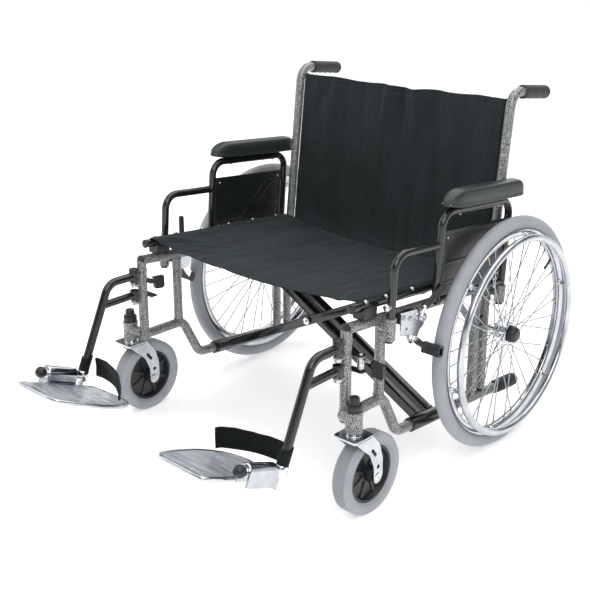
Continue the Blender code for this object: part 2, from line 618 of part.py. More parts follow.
def footplate(side):
    outline = [(0.3390, -0.0285), (0.3390, 0.1950), (0.330, 0.2090), (0.300, 0.2110), (0.205, 0.2080), (0.184, 0.2000),
               (0.174, 0.1800), (0.163, 0.1450), (0.156, 0.1000), (0.1525, 0.0620), (0.158, 0.0200), (0.172, -0.0120),
               (0.192, -0.0330), (0.224, -0.0450), (0.256, -0.0415), (0.300, -0.0345)]
    plate = prism("plate", outline, lambda u, v, w: foot_point(side, u, v, w), -PLATE_T, 0.0)
    arc = [(HALF_W + SADDLE_R * cos(radians(t)), FLIP_C + SADDLE_R * sin(radians(t))) for t in range(0, 181, 30)]
    saddle = [(HALF_W + SADDLE_R, -0.0105)] + arc + [(HALF_W - SADDLE_R, -0.0045), (HALF_W - 0.006, -0.0105)]
    union(plate, prism("saddle", saddle, lambda u, v, w: foot_point(side, u, w, v), *BARREL_A))
    cut(plate, rod("bore", foot_point(side, HALF_W, 0, FLIP_C), foot_point(side, HALF_W, 0.15, FLIP_C), BARREL_R + 0.0009, 16))
    return finish(plate, "footplate_" + side_name(side), ALUMINIUM, foot_point(side, HALF_W, 0.07, FLIP_C))


def heel_loop(side):
    path = [(0.3420, -0.3205), (0.315, -0.3185), (0.285, -0.3215), (0.255, -0.3290), (0.225, -0.3400), (0.200, -0.3520),
            (0.182, -0.3640), (0.1735, -0.3760)]
    points, n = [], len(path)
    for i, (x, y) in enumerate(path):
        a, b = path[max(0, i - 1)], path[min(n - 1, i + 1)]
        length = sqrt((b[0] - a[0]) ** 2 + (b[1] - a[1]) ** 2)
        out = Vector((side * -(b[1] - a[1]) / length, (b[0] - a[0]) / length, 0)) * 0.0015
        at = Vector((side * x, y, 0))
        for z, sign in ((0.182, 1), (0.182, -1), (0.234, -1), (0.234, 1)):
            points.append(at + out * sign + Vector((0, 0, z)))
    faces = [(i * 4 + k, i * 4 + (k + 1) % 4, (i + 1) * 4 + (k + 1) % 4, (i + 1) * 4 + k)
             for i in range(n - 1) for k in range(4)]
    faces += [(0, 1, 2, 3), tuple(range((n - 1) * 4, n * 4))]
    loop = new_object("loop", points, faces)
    return finish(loop, "heel_loop_" + side_name(side), WEBBING, (side * 0.342, -0.3205, 0.208))


def latch_lever(side, heading):
    """The release lever of a hanger, pointing along heading, seen from above."""
    ahead = Vector((cos(heading), sin(heading), 0))
    pivot = Vector((side * LATCH_X, LATCH_Y, 0))

    def place(u, v, w):
        return pivot + ahead * u + Vector((-ahead.y, ahead.x, 0)) * w + Vector((0, 0, v))

    hub = rod("hub", place(0, 0.3560, 0), place(0, 0.3860, 0), 0.0080, 12)
    paddle = [(0.031, 0.3780), (0.036, 0.3500), (0.062, 0.3470), (0.067, 0.3520), (0.066, 0.3830), (0.031, 0.3850)]
    union(hub, rod("arm", place(0.005, 0.3790, 0), place(0.050, 0.3790, 0), 0.0035, 8),
          prism("paddle", paddle, place, -0.0050, 0.0050))
    cut(hub, rod("bore", place(0, 0.34, 0), place(0, 0.40, 0), 0.0041, 10))
    return finish(hub, "footrest_latch_" + side_name(side), PLASTIC, pivot + Vector((0, 0, 0.371)), False)


# ---------------------------------------------------------------- wheel locks
def turned(point, pivot, angle):
    """A (y, z) point turned about a (y, z) pivot."""
    u, v = point[0] - pivot[0], point[1] - pivot[1]
    return (pivot[0] + u * cos(angle) - v * sin(angle), pivot[1] + u * sin(angle) + v * cos(angle))


def brake_bracket(side):
    outline = [(-0.004, 0.404), (0.022, 0.398), (0.032, 0.374), (0.058, 0.374), (0.066, 0.398), (0.086, 0.410),
               (0.086, 0.452), (-0.004, 0.460)]
    plate = prism("plate", outline, lambda u, v, w: Vector((w, u, v)), *span(side, 0.3975, 0.4020))
    low, high = span(side, 0.3708, 0.3985)
    parts = [box("spacer", (low, 0.008, 0.424), (high, 0.070, 0.447))]
    for pivot, reach in ((BRAKE_PIVOT, 0.4150), (SHOE_PIVOT, 0.4125)):
        parts.append(rod("pin", (side * 0.3990, *pivot), (side * reach, *pivot), 0.0045, 10))
    union(plate, *parts)
    return finish(plate, "brake_bracket_" + side_name(side), CHROME, (side * 0.40, *BRAKE_PIVOT), False)


def brake_lever(side, angle):
    """The handle leans back by its angle from the horizontal."""
    y, z = BRAKE_PIVOT

    def at(x, along, over):
        return Vector((side * x, y + along * cos(angle) - over * sin(angle), z + along * sin(angle) + over * cos(angle)))

    hub = rod("hub", (side * 0.4030, y, z), (side * 0.4120, y, z), 0.0105, 14)
    arm = sweep("arm", [at(0.4075, 0.0, 0.0), at(0.4075, 0.000, 0.012), at(BRAKE_X, 0.008, BRAKE_OFFSET),
                        at(BRAKE_X, 0.050, BRAKE_OFFSET)], 0.0040, 8)
    sleeve = sweep("sleeve", [at(BRAKE_X, d, BRAKE_OFFSET) for d in (0.014, 0.017, 0.085, 0.092)],
                   [0.0065, 0.0073, 0.0073, 0.0050], 12)
    union(hub, arm, sleeve)
    cut(hub, rod("bore", (side * 0.39, y, z), (side * 0.43, y, z), 0.0051, 12))
    return finish(hub, "brake_lever_" + side_name(side), BLACK, (side * 0.4075, y, z))


def brake_shoe(side, angle):
    """The shoe on its arm, turned by angle about its pivot."""
    heading = atan2(WHEEL_R - SHOE_AT[1], WHEEL_Y - SHOE_AT[0])

    def place(u, v, w):
        yz = (SHOE_AT[0] + u * cos(heading) - v * sin(heading), SHOE_AT[1] + u * sin(heading) + v * cos(heading))
        return Vector((side * w, *turned(yz, SHOE_PIVOT, angle)))

    block = prism("shoe", [(-0.008, -0.013), (0.009, -0.013), (0.011, -0.010), (0.011, 0.010), (0.009, 0.013), (-0.008, 0.013)],
                  place, 0.4028, 0.4530)
    end = turned(SHOE_AT, SHOE_PIVOT, angle)
    arm = box("arm", (-0.0028, -0.0065, -0.0075), (0.0028, 0.048, 0.0075))
    reach = atan2(end[1] - SHOE_PIVOT[1], end[0] - SHOE_PIVOT[0])
    arm.data.transform(Matrix.Translation((side * 0.4060, *SHOE_PIVOT)) @ Matrix.Rotation(reach, 4, "X"))
    union(block, arm)
    cut(block, rod("bore", (side * 0.38, *SHOE_PIVOT), (side * 0.43, *SHOE_PIVOT), 0.0051, 12))
    return finish(block, "brake_shoe_" + side_name(side), PLASTIC, (side * 0.406, *SHOE_PIVOT), False)


# ---------------------------------------------------------------- build
LOCKED, OPEN = (radians(22.6), 0.0), (radians(90), radians(-20))

for hand in (1, -1):
    for build in (side_frame, back_cane, push_grip, tip_cap, seat_guide, seat_rail, armrest_frame, armrest_pad,
                  skirt_guard, armrest_button, caster_fork, caster_cap, caster_tyre, caster_rim, rear_tyre,
                  rear_wheel, hand_rim, axle_cap, footrest_hanger, hinge_barrel, footplate, heel_loop,
                  brake_bracket):
        build(hand)
    lever_angle, shoe_angle = LOCKED if hand > 0 else OPEN
    brake_lever(hand, lever_angle)
    brake_shoe(hand, shoe_angle)
    latch_lever(hand, 0.0 if hand > 0 else pi / 2)

brace_arm("brace_arm_A", -1, BARS_A)
brace_arm("brace_arm_B", 1, BARS_B)
pivot_bolt()
seat_sling()
back_sling()

for piece in bpy.data.objects:
    piece.location.y -= MID_Y
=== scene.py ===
"""Manual folding wheelchair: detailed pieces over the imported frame.

Metres, +Z up. The chair faces -Y and +X is the sitter's left. Lengths along Y in this file
are counted from a datum on the front of the frame, MID in front of the row's origin.
"""
import bmesh
import bpy
from math import cos, sin, pi, radians, sqrt, atan2, exp
from mathutils import Matrix, Vector, noise
from mathutils.geometry import tessellate_polygon

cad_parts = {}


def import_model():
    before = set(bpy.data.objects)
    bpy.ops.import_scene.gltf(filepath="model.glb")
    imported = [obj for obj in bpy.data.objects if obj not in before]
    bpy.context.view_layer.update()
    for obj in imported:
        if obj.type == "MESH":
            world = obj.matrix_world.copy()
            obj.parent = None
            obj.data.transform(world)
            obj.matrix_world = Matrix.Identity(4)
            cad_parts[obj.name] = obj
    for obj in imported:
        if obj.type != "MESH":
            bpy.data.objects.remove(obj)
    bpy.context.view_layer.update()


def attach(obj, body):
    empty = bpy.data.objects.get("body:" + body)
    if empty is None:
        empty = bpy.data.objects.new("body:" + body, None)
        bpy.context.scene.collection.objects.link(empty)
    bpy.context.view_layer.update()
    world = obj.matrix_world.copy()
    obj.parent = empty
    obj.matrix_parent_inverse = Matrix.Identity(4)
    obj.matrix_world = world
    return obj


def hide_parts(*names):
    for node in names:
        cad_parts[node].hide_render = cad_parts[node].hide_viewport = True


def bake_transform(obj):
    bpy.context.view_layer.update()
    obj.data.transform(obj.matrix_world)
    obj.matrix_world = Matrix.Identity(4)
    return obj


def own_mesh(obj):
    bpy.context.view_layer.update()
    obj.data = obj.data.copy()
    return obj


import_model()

# ---------------------------------------------------------------- dimensions, as in the CAD
MID = 0.0711
PITCH = radians(4.3)
PC, PS = cos(PITCH), sin(PITCH)
HALF_W, TUBE_R, REAR_R, RAIL_R, ARM_R = 0.357, 0.013, 0.0125, 0.011, 0.01
RAIL_Z, TOP_Z, LOW_Z = 0.482, 0.439, 0.131
POST_Y, POST2_Y, REAR_Y, CANE_Y = -0.143, -0.022, 0.373, 0.418
CANE_LEAN, CANE_TOP_Z = 0.11, 0.903
WHEEL_Y, WHEEL_R, WHEEL_X = 0.3985, 0.305, 0.433
RIM_X, RIM_R = 0.471, 0.255
CASTER_X, CASTER_Y, CASTER_R, TRAIL = 0.397, -0.159, 0.1, 0.048
ARMREST_X, ARM_FRONT_Y, ARM_LOOP_Y, ARM_REAR_Y = 0.393, -0.066, 0.105, 0.397
ARM_CUT_Z, ARM_LOOP_Z, ARM_BASE_Z = 0.596, 0.672, 0.458
BUTTON_Z = 0.478
PIN_Y = -0.171
TILT, SLOPE = radians(22.1), radians(23.7)
FOOT_Y, FOOT_Z, FLIP_C = -0.3597, 0.168, 0.0195
BRAKE_PIVOT, SHOE_PIVOT, SHOE_AT = (0.072, 0.432), (0.045, 0.385), (0.085, 0.3525)
BRAKE_X, BRAKE_OFFSET = 0.412, 0.025
LATCH_X, LATCH_Y = 0.38, -0.119
FOLD_GAIN = 2.5                      # how far the folds of the cloth are raised over the depths listed
STITCH_R, STITCH_RISE = 0.0004, 0.0006
GRIP_LENGTH = 0.1205
SPOKES, STUDS = 36, 6                # spokes of a rear wheel, and studs of its hand rim
TREAD_PITCH = 0.0088                 # the ribs on a footplate
STRAP_LOW, STRAP_HIGH = 0.1825, 0.2335
WAVE_BANDS = 3.183                   # bands a metre in a Wave texture of scale 1
FLOOR_REACH = 60.0
SENSOR, FOCAL_PIXELS, IMAGE_WIDTH = 36.0, 1015.39, 590


def world(x, y, z):
    return Vector((x, y - MID, z))


def tilted(x, y, z):
    """A point of the pitched frame, in the row frame."""
    return Vector((x, y * PC + z * PS - MID, -y * PS + z * PC))


BACK, UP = Vector((0, PC, -PS)), Vector((0, PS, PC))
FORWARD, LIFT = Vector((0, -cos(TILT), sin(TILT))), Vector((0, sin(TILT), cos(TILT)))
X = Vector((1, 0, 0))
Z = (0, 0, 1)


def foot(side, x, a, c):
    return world(side * x, FOOT_Y, FOOT_Z) + FORWARD * a + LIFT * c


# ---------------------------------------------------------------- materials
def nodes_of(name):
    mat = bpy.data.materials.new(name)
    mat.use_nodes = True
    tree = mat.node_tree
    shader = tree.nodes["Principled BSDF"]
    place = tree.nodes.new("ShaderNodeTexCoord").outputs["Object"]

    def add(kind, **values):
        node = tree.nodes.new("ShaderNode" + kind)
        for key, value in values.items():
            if key in node.inputs:
                node.inputs[key].default_value = value
            else:
                setattr(node, key, value)
        return node

    def link(a, b):
        tree.links.new(a, b)

    return mat, shader, place, add, link


def texture(add, link, place, scale, detail=3.0, rough=0.55):
    node = add("TexNoise", Scale=scale, Detail=detail, Roughness=rough)
    link(place, node.inputs["Vector"])
    return node.outputs["Fac"]


def ramp(add, link, source, stops):
    node = add("ValToRGB")
    cells = node.color_ramp.elements
    while len(cells) < len(stops):
        cells.new(0.5)
    for cell, (at, colour) in zip(cells, stops):
        cell.position = at
        cell.color = (*colour, 1) if isinstance(colour, tuple) else (colour, colour, colour, 1)
    link(source, node.inputs["Fac"])
    return node.outputs["Color"]


def bumped(add, link, shader, heights):
    """Chains bumps, each (height socket, strength, distance)."""
    last = None
    for height, strength, distance in heights:
        node = add("Bump", Strength=strength, Distance=distance)
        link(height, node.inputs["Height"])
        if last:
            link(last, node.inputs["Normal"])
        last = node.outputs["Normal"]
    link(last, shader.inputs["Normal"])


def solid(name, light, dark, rough, metal=0.0, blotch=30.0, grain=600.0, grain_depth=0.0002, grain_bump=0.15,
        coat=0.0, specular=0.5):
    """Paint, plastic, rubber or metal: blotched colour, uneven gloss, fine grain."""
    mat, shader, place, add, link = nodes_of(name)
    cloud = texture(add, link, place, blotch)
    colour = ramp(add, link, cloud, [(0.3, dark), (0.7, light)])
    link(colour, shader.inputs["Base Color"])
    gloss = ramp(add, link, texture(add, link, place, blotch * 4, 4.0),
        [(0.3, rough * 0.8), (0.7, rough * 1.25)])
    link(gloss, shader.inputs["Roughness"])
    bumped(add, link, shader, [(texture(add, link, place, grain), grain_bump, grain_depth)])
    shader.inputs["Metallic"].default_value = metal
    shader.inputs["Coat Weight"].default_value = coat
    shader.inputs["Coat Roughness"].default_value = 0.08
    shader.inputs["Specular IOR Level"].default_value = specular
    return mat


def hammertone(name):
    """Silver vein paint: bright flakes in a dark web, about two millimetres across."""
    mat, shader, place, add, link = nodes_of(name)
    bent = add("Mix", data_type="VECTOR")
    warp = add("TexNoise", Scale=300.0, Detail=2.0)
    link(place, warp.inputs["Vector"])
    bent.inputs[0].default_value = 0.006
    link(place, bent.inputs[4])
    link(warp.outputs["Color"], bent.inputs[5])
    cells = add("TexVoronoi", Scale=260.0, feature="DISTANCE_TO_EDGE")
    link(bent.outputs[1], cells.inputs["Vector"])
    flakes = texture(add, link, place, 560.0, 3.0, 0.6)
    colour = ramp(add, link, flakes, [(0.45, (0.014, 0.017, 0.016)), (0.505, (0.13, 0.138, 0.132)),
        (0.57, (0.5, 0.515, 0.495))])
    link(colour, shader.inputs["Base Color"])
    gloss = ramp(add, link, texture(add, link, place, 60.0), [(0.3, 0.26), (0.7, 0.4)])
    link(gloss, shader.inputs["Roughness"])
    bumped(add, link, shader, [(cells.outputs["Distance"], 0.35, 0.0004), (flakes, 0.3, 0.0002)])
    shader.inputs["Metallic"].default_value = 0.3
    shader.inputs["Coat Weight"].default_value = 0.3
    shader.inputs["Coat Roughness"].default_value = 0.12
    return mat


def woven(name, light, dark, across, along, pitch, rough, ribs=False):
    """Cloth with threads across two axes of the piece, faded colour with painted shade and highlight streaked
    along its creases, and a soft sheen.
    """
    mat, shader, place, add, link = nodes_of(name)
    waves = []
    for axis, size in ((across, pitch), (along, pitch * (3.0 if ribs else 1.0))):
        wave = add("TexWave", Scale=1.0 / size / WAVE_BANDS, bands_direction=axis, Distortion=0.6)
        wave.inputs["Detail Scale"].default_value = 60.0
        link(place, wave.inputs["Vector"])
        waves.append(wave.outputs["Fac"])
    threads = add("Math", operation="MULTIPLY")
    link(waves[0], threads.inputs[0])
    link(waves[1], threads.inputs[1])
    cloud = texture(add, link, place, 7.0, 4.0, 0.6)
    fibre = texture(add, link, place, 420.0, 3.0)
    # gathers that run along the pull of the cloth, as lighter and darker streaks of painted fold shade and
    # highlight in the colour, and as soft relief
    pulled = add("Mapping")
    pulled.inputs["Scale"].default_value = tuple({across: 20.0, along: 3.0}.get(axis, 6.0) for axis in "XYZ")
    link(place, pulled.inputs["Vector"])
    gathers = add("TexNoise", Scale=1.0, Detail=4.0, Roughness=0.55)
    link(pulled.outputs[0], gathers.inputs["Vector"])
    # random fading, mixed half and half with the gathers as painted fold shade and highlight
    fading_and_fold_shade = add("Mix", data_type="FLOAT")
    fading_and_fold_shade.inputs[0].default_value = 0.5
    link(cloud, fading_and_fold_shade.inputs[2])
    link(gathers.outputs["Fac"], fading_and_fold_shade.inputs[3])
    tone = add("Mix", data_type="FLOAT")
    tone.inputs[0].default_value = 0.42
    link(fading_and_fold_shade.outputs[0], tone.inputs[2])
    link(fibre, tone.inputs[3])
    colour = ramp(add, link, tone.outputs[0], [(0.37, dark), (0.62, light)])
    link(colour, shader.inputs["Base Color"])
    gloss = ramp(add, link, cloud, [(0.3, rough * 0.9), (0.7, min(1.0, rough * 1.12))])
    link(gloss, shader.inputs["Roughness"])
    bumped(add, link, shader, [(threads.outputs[0], 0.45, 0.0004), (fibre, 0.35, 0.0005),
        (texture(add, link, place, 15.0, 5.0, 0.5), 0.55, 0.012), (gathers.outputs["Fac"], 0.6, 0.022)])
    shader.inputs["Sheen Weight"].default_value = 0.06
    shader.inputs["Sheen Roughness"].default_value = 0.45
    shader.inputs["Specular IOR Level"].default_value = 0.22
    return mat


def grooved(name):
    """Extruded aluminium: lengthwise grooves darkened with painted shade, brushed streaks partly tinted blue
    as a painted reflection, and dull scuffs.
    """
    mat, shader, place, add, link = nodes_of(name)
    stripes = add("TexWave", Scale=1.0 / 0.0082 / WAVE_BANDS, bands_direction="Y", Distortion=0.0,
        wave_profile="SIN")
    link(place, stripes.inputs["Vector"])
    lines = ramp(add, link, stripes.outputs["Fac"], [(0.0, 0.0), (0.22, 1.0)])
    stretch = add("Mapping")
    stretch.inputs["Scale"].default_value = (9.0, 520.0, 520.0)
    link(place, stretch.inputs["Vector"])
    streaks = add("TexNoise", Scale=1.0, Detail=3.0)
    link(stretch.outputs[0], streaks.inputs["Vector"])
    # the brushed streaks are grain; the blue tint of the darker ones is a painted reflection
    tone = ramp(add, link, streaks.outputs["Fac"], [(0.34, (0.2, 0.235, 0.27)), (0.5, (0.4, 0.44, 0.48)),
        (0.66, (0.58, 0.6, 0.6))])
    # dark lines at the tread's pitch multiplied over the colour: painted shade in the grooves between the
    # ribs
    groove_shade = add("Mix", data_type="RGBA", blend_type="MULTIPLY")
    groove_shade.inputs[0].default_value = 0.55
    link(tone, groove_shade.inputs[6])
    link(lines, groove_shade.inputs[7])
    link(groove_shade.outputs[2], shader.inputs["Base Color"])
    gloss = ramp(add, link, texture(add, link, place, 45.0, 4.0), [(0.3, 0.22), (0.7, 0.42)])
    link(gloss, shader.inputs["Roughness"])
    bumped(add, link, shader, [(streaks.outputs["Fac"], 0.1, 0.0002)])
    shader.inputs["Metallic"].default_value = 0.88
    return mat


HAMMER = hammertone("hammertone_silver")
BLACK = solid("gloss_black_paint", (0.0095, 0.012, 0.0115), (0.006, 0.008, 0.0075), 0.15, 0.0, 14.0, 240.0,
    0.0002, 0.06, 0.35)
CHROME = solid("chrome", (0.86, 0.87, 0.88), (0.74, 0.75, 0.77), 0.085, 1.0, 25.0, 900.0, 0.0001, 0.05)
RIM = solid("rim_chrome", (0.55, 0.57, 0.6), (0.42, 0.44, 0.47), 0.15, 1.0, 30.0, 900.0, 0.0001, 0.05)
SPOKE = solid("spoke_steel", (0.42, 0.44, 0.47), (0.3, 0.32, 0.35), 0.16, 1.0, 60.0, 900.0, 0.0001, 0.05)
ZINC = solid("zinc_bolt", (0.66, 0.66, 0.64), (0.42, 0.42, 0.4), 0.24, 1.0, 160.0, 900.0, 0.0002, 0.15)
BRASS = solid("brass_nipple", (0.62, 0.46, 0.2), (0.42, 0.31, 0.13), 0.28, 1.0, 160.0, 900.0, 0.0002, 0.1)
DARK_STEEL = solid("dark_steel", (0.1, 0.105, 0.11), (0.045, 0.05, 0.05), 0.34, 0.8, 70.0, 500.0, 0.0003, 0.2)
CAST = solid("bright_aluminium", (0.62, 0.64, 0.66), (0.47, 0.5, 0.53), 0.2, 1.0, 35.0, 700.0, 0.0003, 0.15)
PLATE = grooved("grooved_aluminium")
NYLON_SEAT = woven("black_nylon_seat", (0.02, 0.0315, 0.033), (0.004, 0.0085, 0.0095), "X", "Y", 0.0012, 0.78)
# the back's copy of the seat nylon, made a little darker: painted shade on the upright sling
NYLON_BACK_SHADED = woven("black_nylon_back_shaded", (0.0185, 0.027, 0.029), (0.0042, 0.008, 0.0092), "X", "Z", 0.0012,
    0.78)
WEBBING = woven("black_webbing", (0.012, 0.015, 0.015), (0.0045, 0.006, 0.006), "Z", "X", 0.0014, 0.85, True)
PAD = solid("moulded_pad", (0.024, 0.033, 0.031), (0.015, 0.021, 0.02), 0.36, 0.0, 12.0, 800.0, 0.0004, 0.3,
    specular=0.45)
PLASTIC = solid("black_plastic", (0.014, 0.017, 0.017), (0.009, 0.011, 0.011), 0.36, 0.0, 30.0, 700.0, 0.0003,
    0.2)
RUBBER = solid("black_rubber", (0.026, 0.03, 0.031), (0.014, 0.017, 0.018), 0.6, 0.0, 40.0, 500.0, 0.0004,
    0.35)
TYRE = solid("grey_tyre", (0.345, 0.358, 0.385), (0.285, 0.298, 0.325), 0.46, 0.0, 16.0, 380.0, 0.0003, 0.25,
    specular=0.4)
STITCH = solid("thread", (0.06, 0.068, 0.07), (0.035, 0.04, 0.042), 0.62, 0.0, 200.0, 1500.0, 0.0001, 0.2)


# ---------------------------------------------------------------- shapes
def bent(points, radius, steps=10):
    """The polyline with each inner corner replaced by an arc."""
    points = [Vector(p) for p in points]
    out = [points[0]]
    for before, corner, after in zip(points, points[1:], points[2:]):
        a, b = (before - corner).normalized(), (after - corner).normalized()
        half = a.angle(b) / 2
        run = radius * cos(half) / sin(half)
        centre = corner + (a + b).normalized() * (radius / sin(half))
        start, end = corner + a * run - centre, corner + b * run - centre
        for k in range(steps + 1):
            out.append(centre + start.lerp(end, k / steps).normalized() * radius)
    return out + [points[-1]]


def mm(*values):
    """Pairs in metres from a run of millimetres."""
    return [(a / 1000, b / 1000) for a, b in zip(values[::2], values[1::2])]


def turns(count):
    return [2 * pi * k / count for k in range(count)]


def circle(sides):
    return [(cos(2 * pi * (k + 0.5) / sides), sin(2 * pi * (k + 0.5) / sides)) for k in range(sides)]


def hole(u, v, half, length=0.0, lean=0.0):
    """A round hole, or a slot of that half width where length is over 0, as a clockwise loop."""
    out = []
    for a in turns(20):
        p, q = half * cos(a), half * sin(a) + (length if sin(a) > 0 else -length)
        out.append((u + p * cos(lean) - q * sin(lean), v + p * sin(lean) + q * cos(lean)))
    return out[::-1]


def border(m, n, size):
    """The faces that join the two sides of an m by n grid along its border."""
    edge = [i * n for i in range(m)] + [(m - 1) * n + k for k in range(1, n)]
    edge += [i * n + n - 1 for i in range(m - 2, -1, -1)] + list(range(n - 2, 0, -1))
    return [(a, b, size + b, size + a) for a, b in zip(edge, edge[1:] + edge[:1])]


def rounded(half_w, half_h, radius, steps=4):
    """A rounded rectangle as (u, v) pairs."""
    out = []
    for cx, cy, start in ((1, 1, 0), (-1, 1, 90), (-1, -1, 180), (1, -1, 270)):
        for k in range(steps + 1):
            t = radians(start + 90 * k / steps)
            out.append((cx * (half_w - radius) + radius * cos(t), cy * (half_h - radius) + radius * sin(t)))
    return out


class Shape:
    """Collects shells, each with a material, then makes one piece of them."""

    def __init__(self):
        self.points, self.faces, self.slots, self.mats = [], [], [], []

    def add(self, points, faces, mat):
        if mat not in self.mats:
            self.mats.append(mat)
        base = len(self.points)
        self.points += [tuple(p) for p in points]
        self.faces += [tuple(base + i for i in f) for f in faces]
        self.slots += [self.mats.index(mat)] * len(faces)
        return self

    def rings(self, rings, mat, closed=False):
        """Skins a list of equal rings of points."""
        n, m = len(rings[0]), len(rings)
        faces = [((i * n + k), (i * n + (k + 1) % n), ((i + 1) % m * n + (k + 1) % n), ((i + 1) % m * n + k))
            for i in range(m if closed else m - 1) for k in range(n)]
        if not closed:
            faces += [tuple(range(n))[::-1], tuple(range((m - 1) * n, m * n))]
        return self.add([p for ring in rings for p in ring], faces, mat)

    def tube(self, path, radius, mat, sides=20):
        """A bar along a path; radius may be a list, one for each point."""
        path = [Vector(p) for p in path]
        radii = radius if isinstance(radius, (list, tuple)) else [radius] * len(path)
        ring = circle(sides)
        steps = [(b - a).normalized() for a, b in zip(path, path[1:])]
        along = [steps[0]] + [(a + b).normalized() for a, b in zip(steps, steps[1:])] + [steps[-1]]
        side = X if abs(along[0].x) < 0.9 else Vector((0, 1, 0))
        rings = []
        for at, t, r in zip(path, along, radii):
            side = (side - t * side.dot(t)).normalized()
            over = t.cross(side)
            rings.append([at + side * (u * r) + over * (v * r) for u, v in ring])
        return self.rings(rings, mat)

    def lathe(self, centre, axis, profile, mat, segments=40, closed=False):
        """Turns (along, radius) pairs about the axis through centre."""
        centre, axis = Vector(centre), Vector(axis).normalized()
        u = axis.orthogonal().normalized()
        if abs(axis.x) > 0.9:
            u = Vector(Z)
        v = axis.cross(u)
        rings = []
        for along, radius in profile:
            rings.append([centre + axis * along + (u * cos(t) + v * sin(t)) * max(radius, 1e-5)
                for t in turns(segments)])
        return self.rings(rings, mat, closed)

    def box(self, low, high, mat):
        corners = [world(x, y, z) for x in (low[0], high[0]) for y in (low[1], high[1])
            for z in (low[2], high[2])]
        return self.add(corners, [(0, 1, 3, 2), (4, 6, 7, 5), (0, 4, 5, 1), (2, 3, 7, 6), (0, 2, 6, 4),
            (1, 5, 7, 3)], mat)

    def plate(self, outline, place, low, high, mat, holes=()):
        """A flat outline with holes, pushed from low to high; place turns (u, v, w) into a point."""
        loops = [list(outline)] + [list(h) for h in holes]
        flat = [p for loop in loops for p in loop]
        n = len(flat)
        triangles = tessellate_polygon([[Vector((u, v, 0)) for u, v in loop] for loop in loops])
        points = [place(u, v, w) for w in (low, high) for u, v in flat]
        faces = [tuple(t) for t in triangles] + [tuple(n + i for i in reversed(t)) for t in triangles]
        start = 0
        for loop in loops:
            m = len(loop)
            faces += [(start + k, start + (k + 1) % m, n + start + (k + 1) % m, n + start + k)
                for k in range(m)]
            start += m
        return self.add(points, faces, mat)

    def screw(self, at, axis, radius, mat=None, sides=20):
        """A domed head with a socket, standing on its point along axis."""
        r, h = radius, radius * 0.55
        return self.lathe(at, axis, [(-h * 0.3, r * 0.9), (0, r), (h * 0.5, r * 0.96), (h * 0.9, r * 0.65),
            (h, r * 0.42), (h * 0.45, r * 0.36), (h * 0.45, 0)], mat or ZINC, sides)

    def nut(self, at, axis, radius, height, mat=None):
        """A hexagon with a short thread end."""
        self.lathe(at, axis, [(0, radius * 0.94), (height * 0.12, radius), (height * 0.88, radius),
            (height, radius * 0.9), (height, 0)], mat or ZINC, 6)
        return self.lathe(at, axis, [(height * 0.9, radius * 0.52), (height * 1.35, radius * 0.5),
            (height * 1.45, 0)], mat or ZINC, 14)

    def done(self, name, body, bevel=0.0, sub=0, replaces=(), slot=None, angle=38, segments=2):
        mesh = bpy.data.meshes.new(name)
        mesh.from_pydata(self.points, [], self.faces)
        mesh.update()
        for mat in self.mats:
            mesh.materials.append(mat)
        mesh.polygons.foreach_set("material_index", self.slots)
        obj = bpy.data.objects.new(name, mesh)
        bpy.context.scene.collection.objects.link(obj)
        bm = bmesh.new()
        bm.from_mesh(mesh)
        bmesh.ops.remove_doubles(bm, verts=bm.verts, dist=2e-6)
        bmesh.ops.recalc_face_normals(bm, faces=bm.faces)
        bm.to_mesh(mesh)
        bm.free()
        mesh.shade_smooth()
        if bevel:
            edge = obj.modifiers.new("edge", "BEVEL")
            edge.width, edge.segments, edge.limit_method = bevel, segments, "ANGLE"
            edge.angle_limit = radians(angle)
            edge.harden_normals = True
        else:
            mesh.set_sharp_from_angle(angle=radians(angle))
        if sub:
            finer = obj.modifiers.new("smooth", "SUBSURF")
            finer.levels = finer.render_levels = sub
        if body:
            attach(obj, body)
        if replaces:
            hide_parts(*replaces)
        return obj

    def sided(self, name, n, body, node, slot, angle=38, bevel=0.0, sub=0):
        """Makes the piece of side n, which stands for that side's CAD node, or for none."""
        nodes = (node + "_" + n,) if node else ()
        return self.done(name + "_" + n, body, bevel, sub, nodes, slot, angle)


def plug(shape, at, outward, radius):
    """A domed plastic plug on a tube's end."""
    shape.lathe(at, outward, [(-0.004, radius * 0.9), (-0.0005, radius), (0.0015, radius * 1.03),
        (0.0035, radius * 0.96), (0.0052, radius * 0.72), (0.006, radius * 0.3), (0.0061, 0)], PLASTIC, 24)


def weld(shape, at, axis, radius, mat=None):
    """A raised bead where one tube meets another."""
    shape.lathe(at, axis, [(0.0022 * cos(t), radius + 0.0016 * sin(t)) for t in turns(8)], mat or HAMMER, 24,
        True)


# ---------------------------------------------------------------- side frames
def cane_y(z):
    return 0.437 + CANE_LEAN * (z - 0.48)


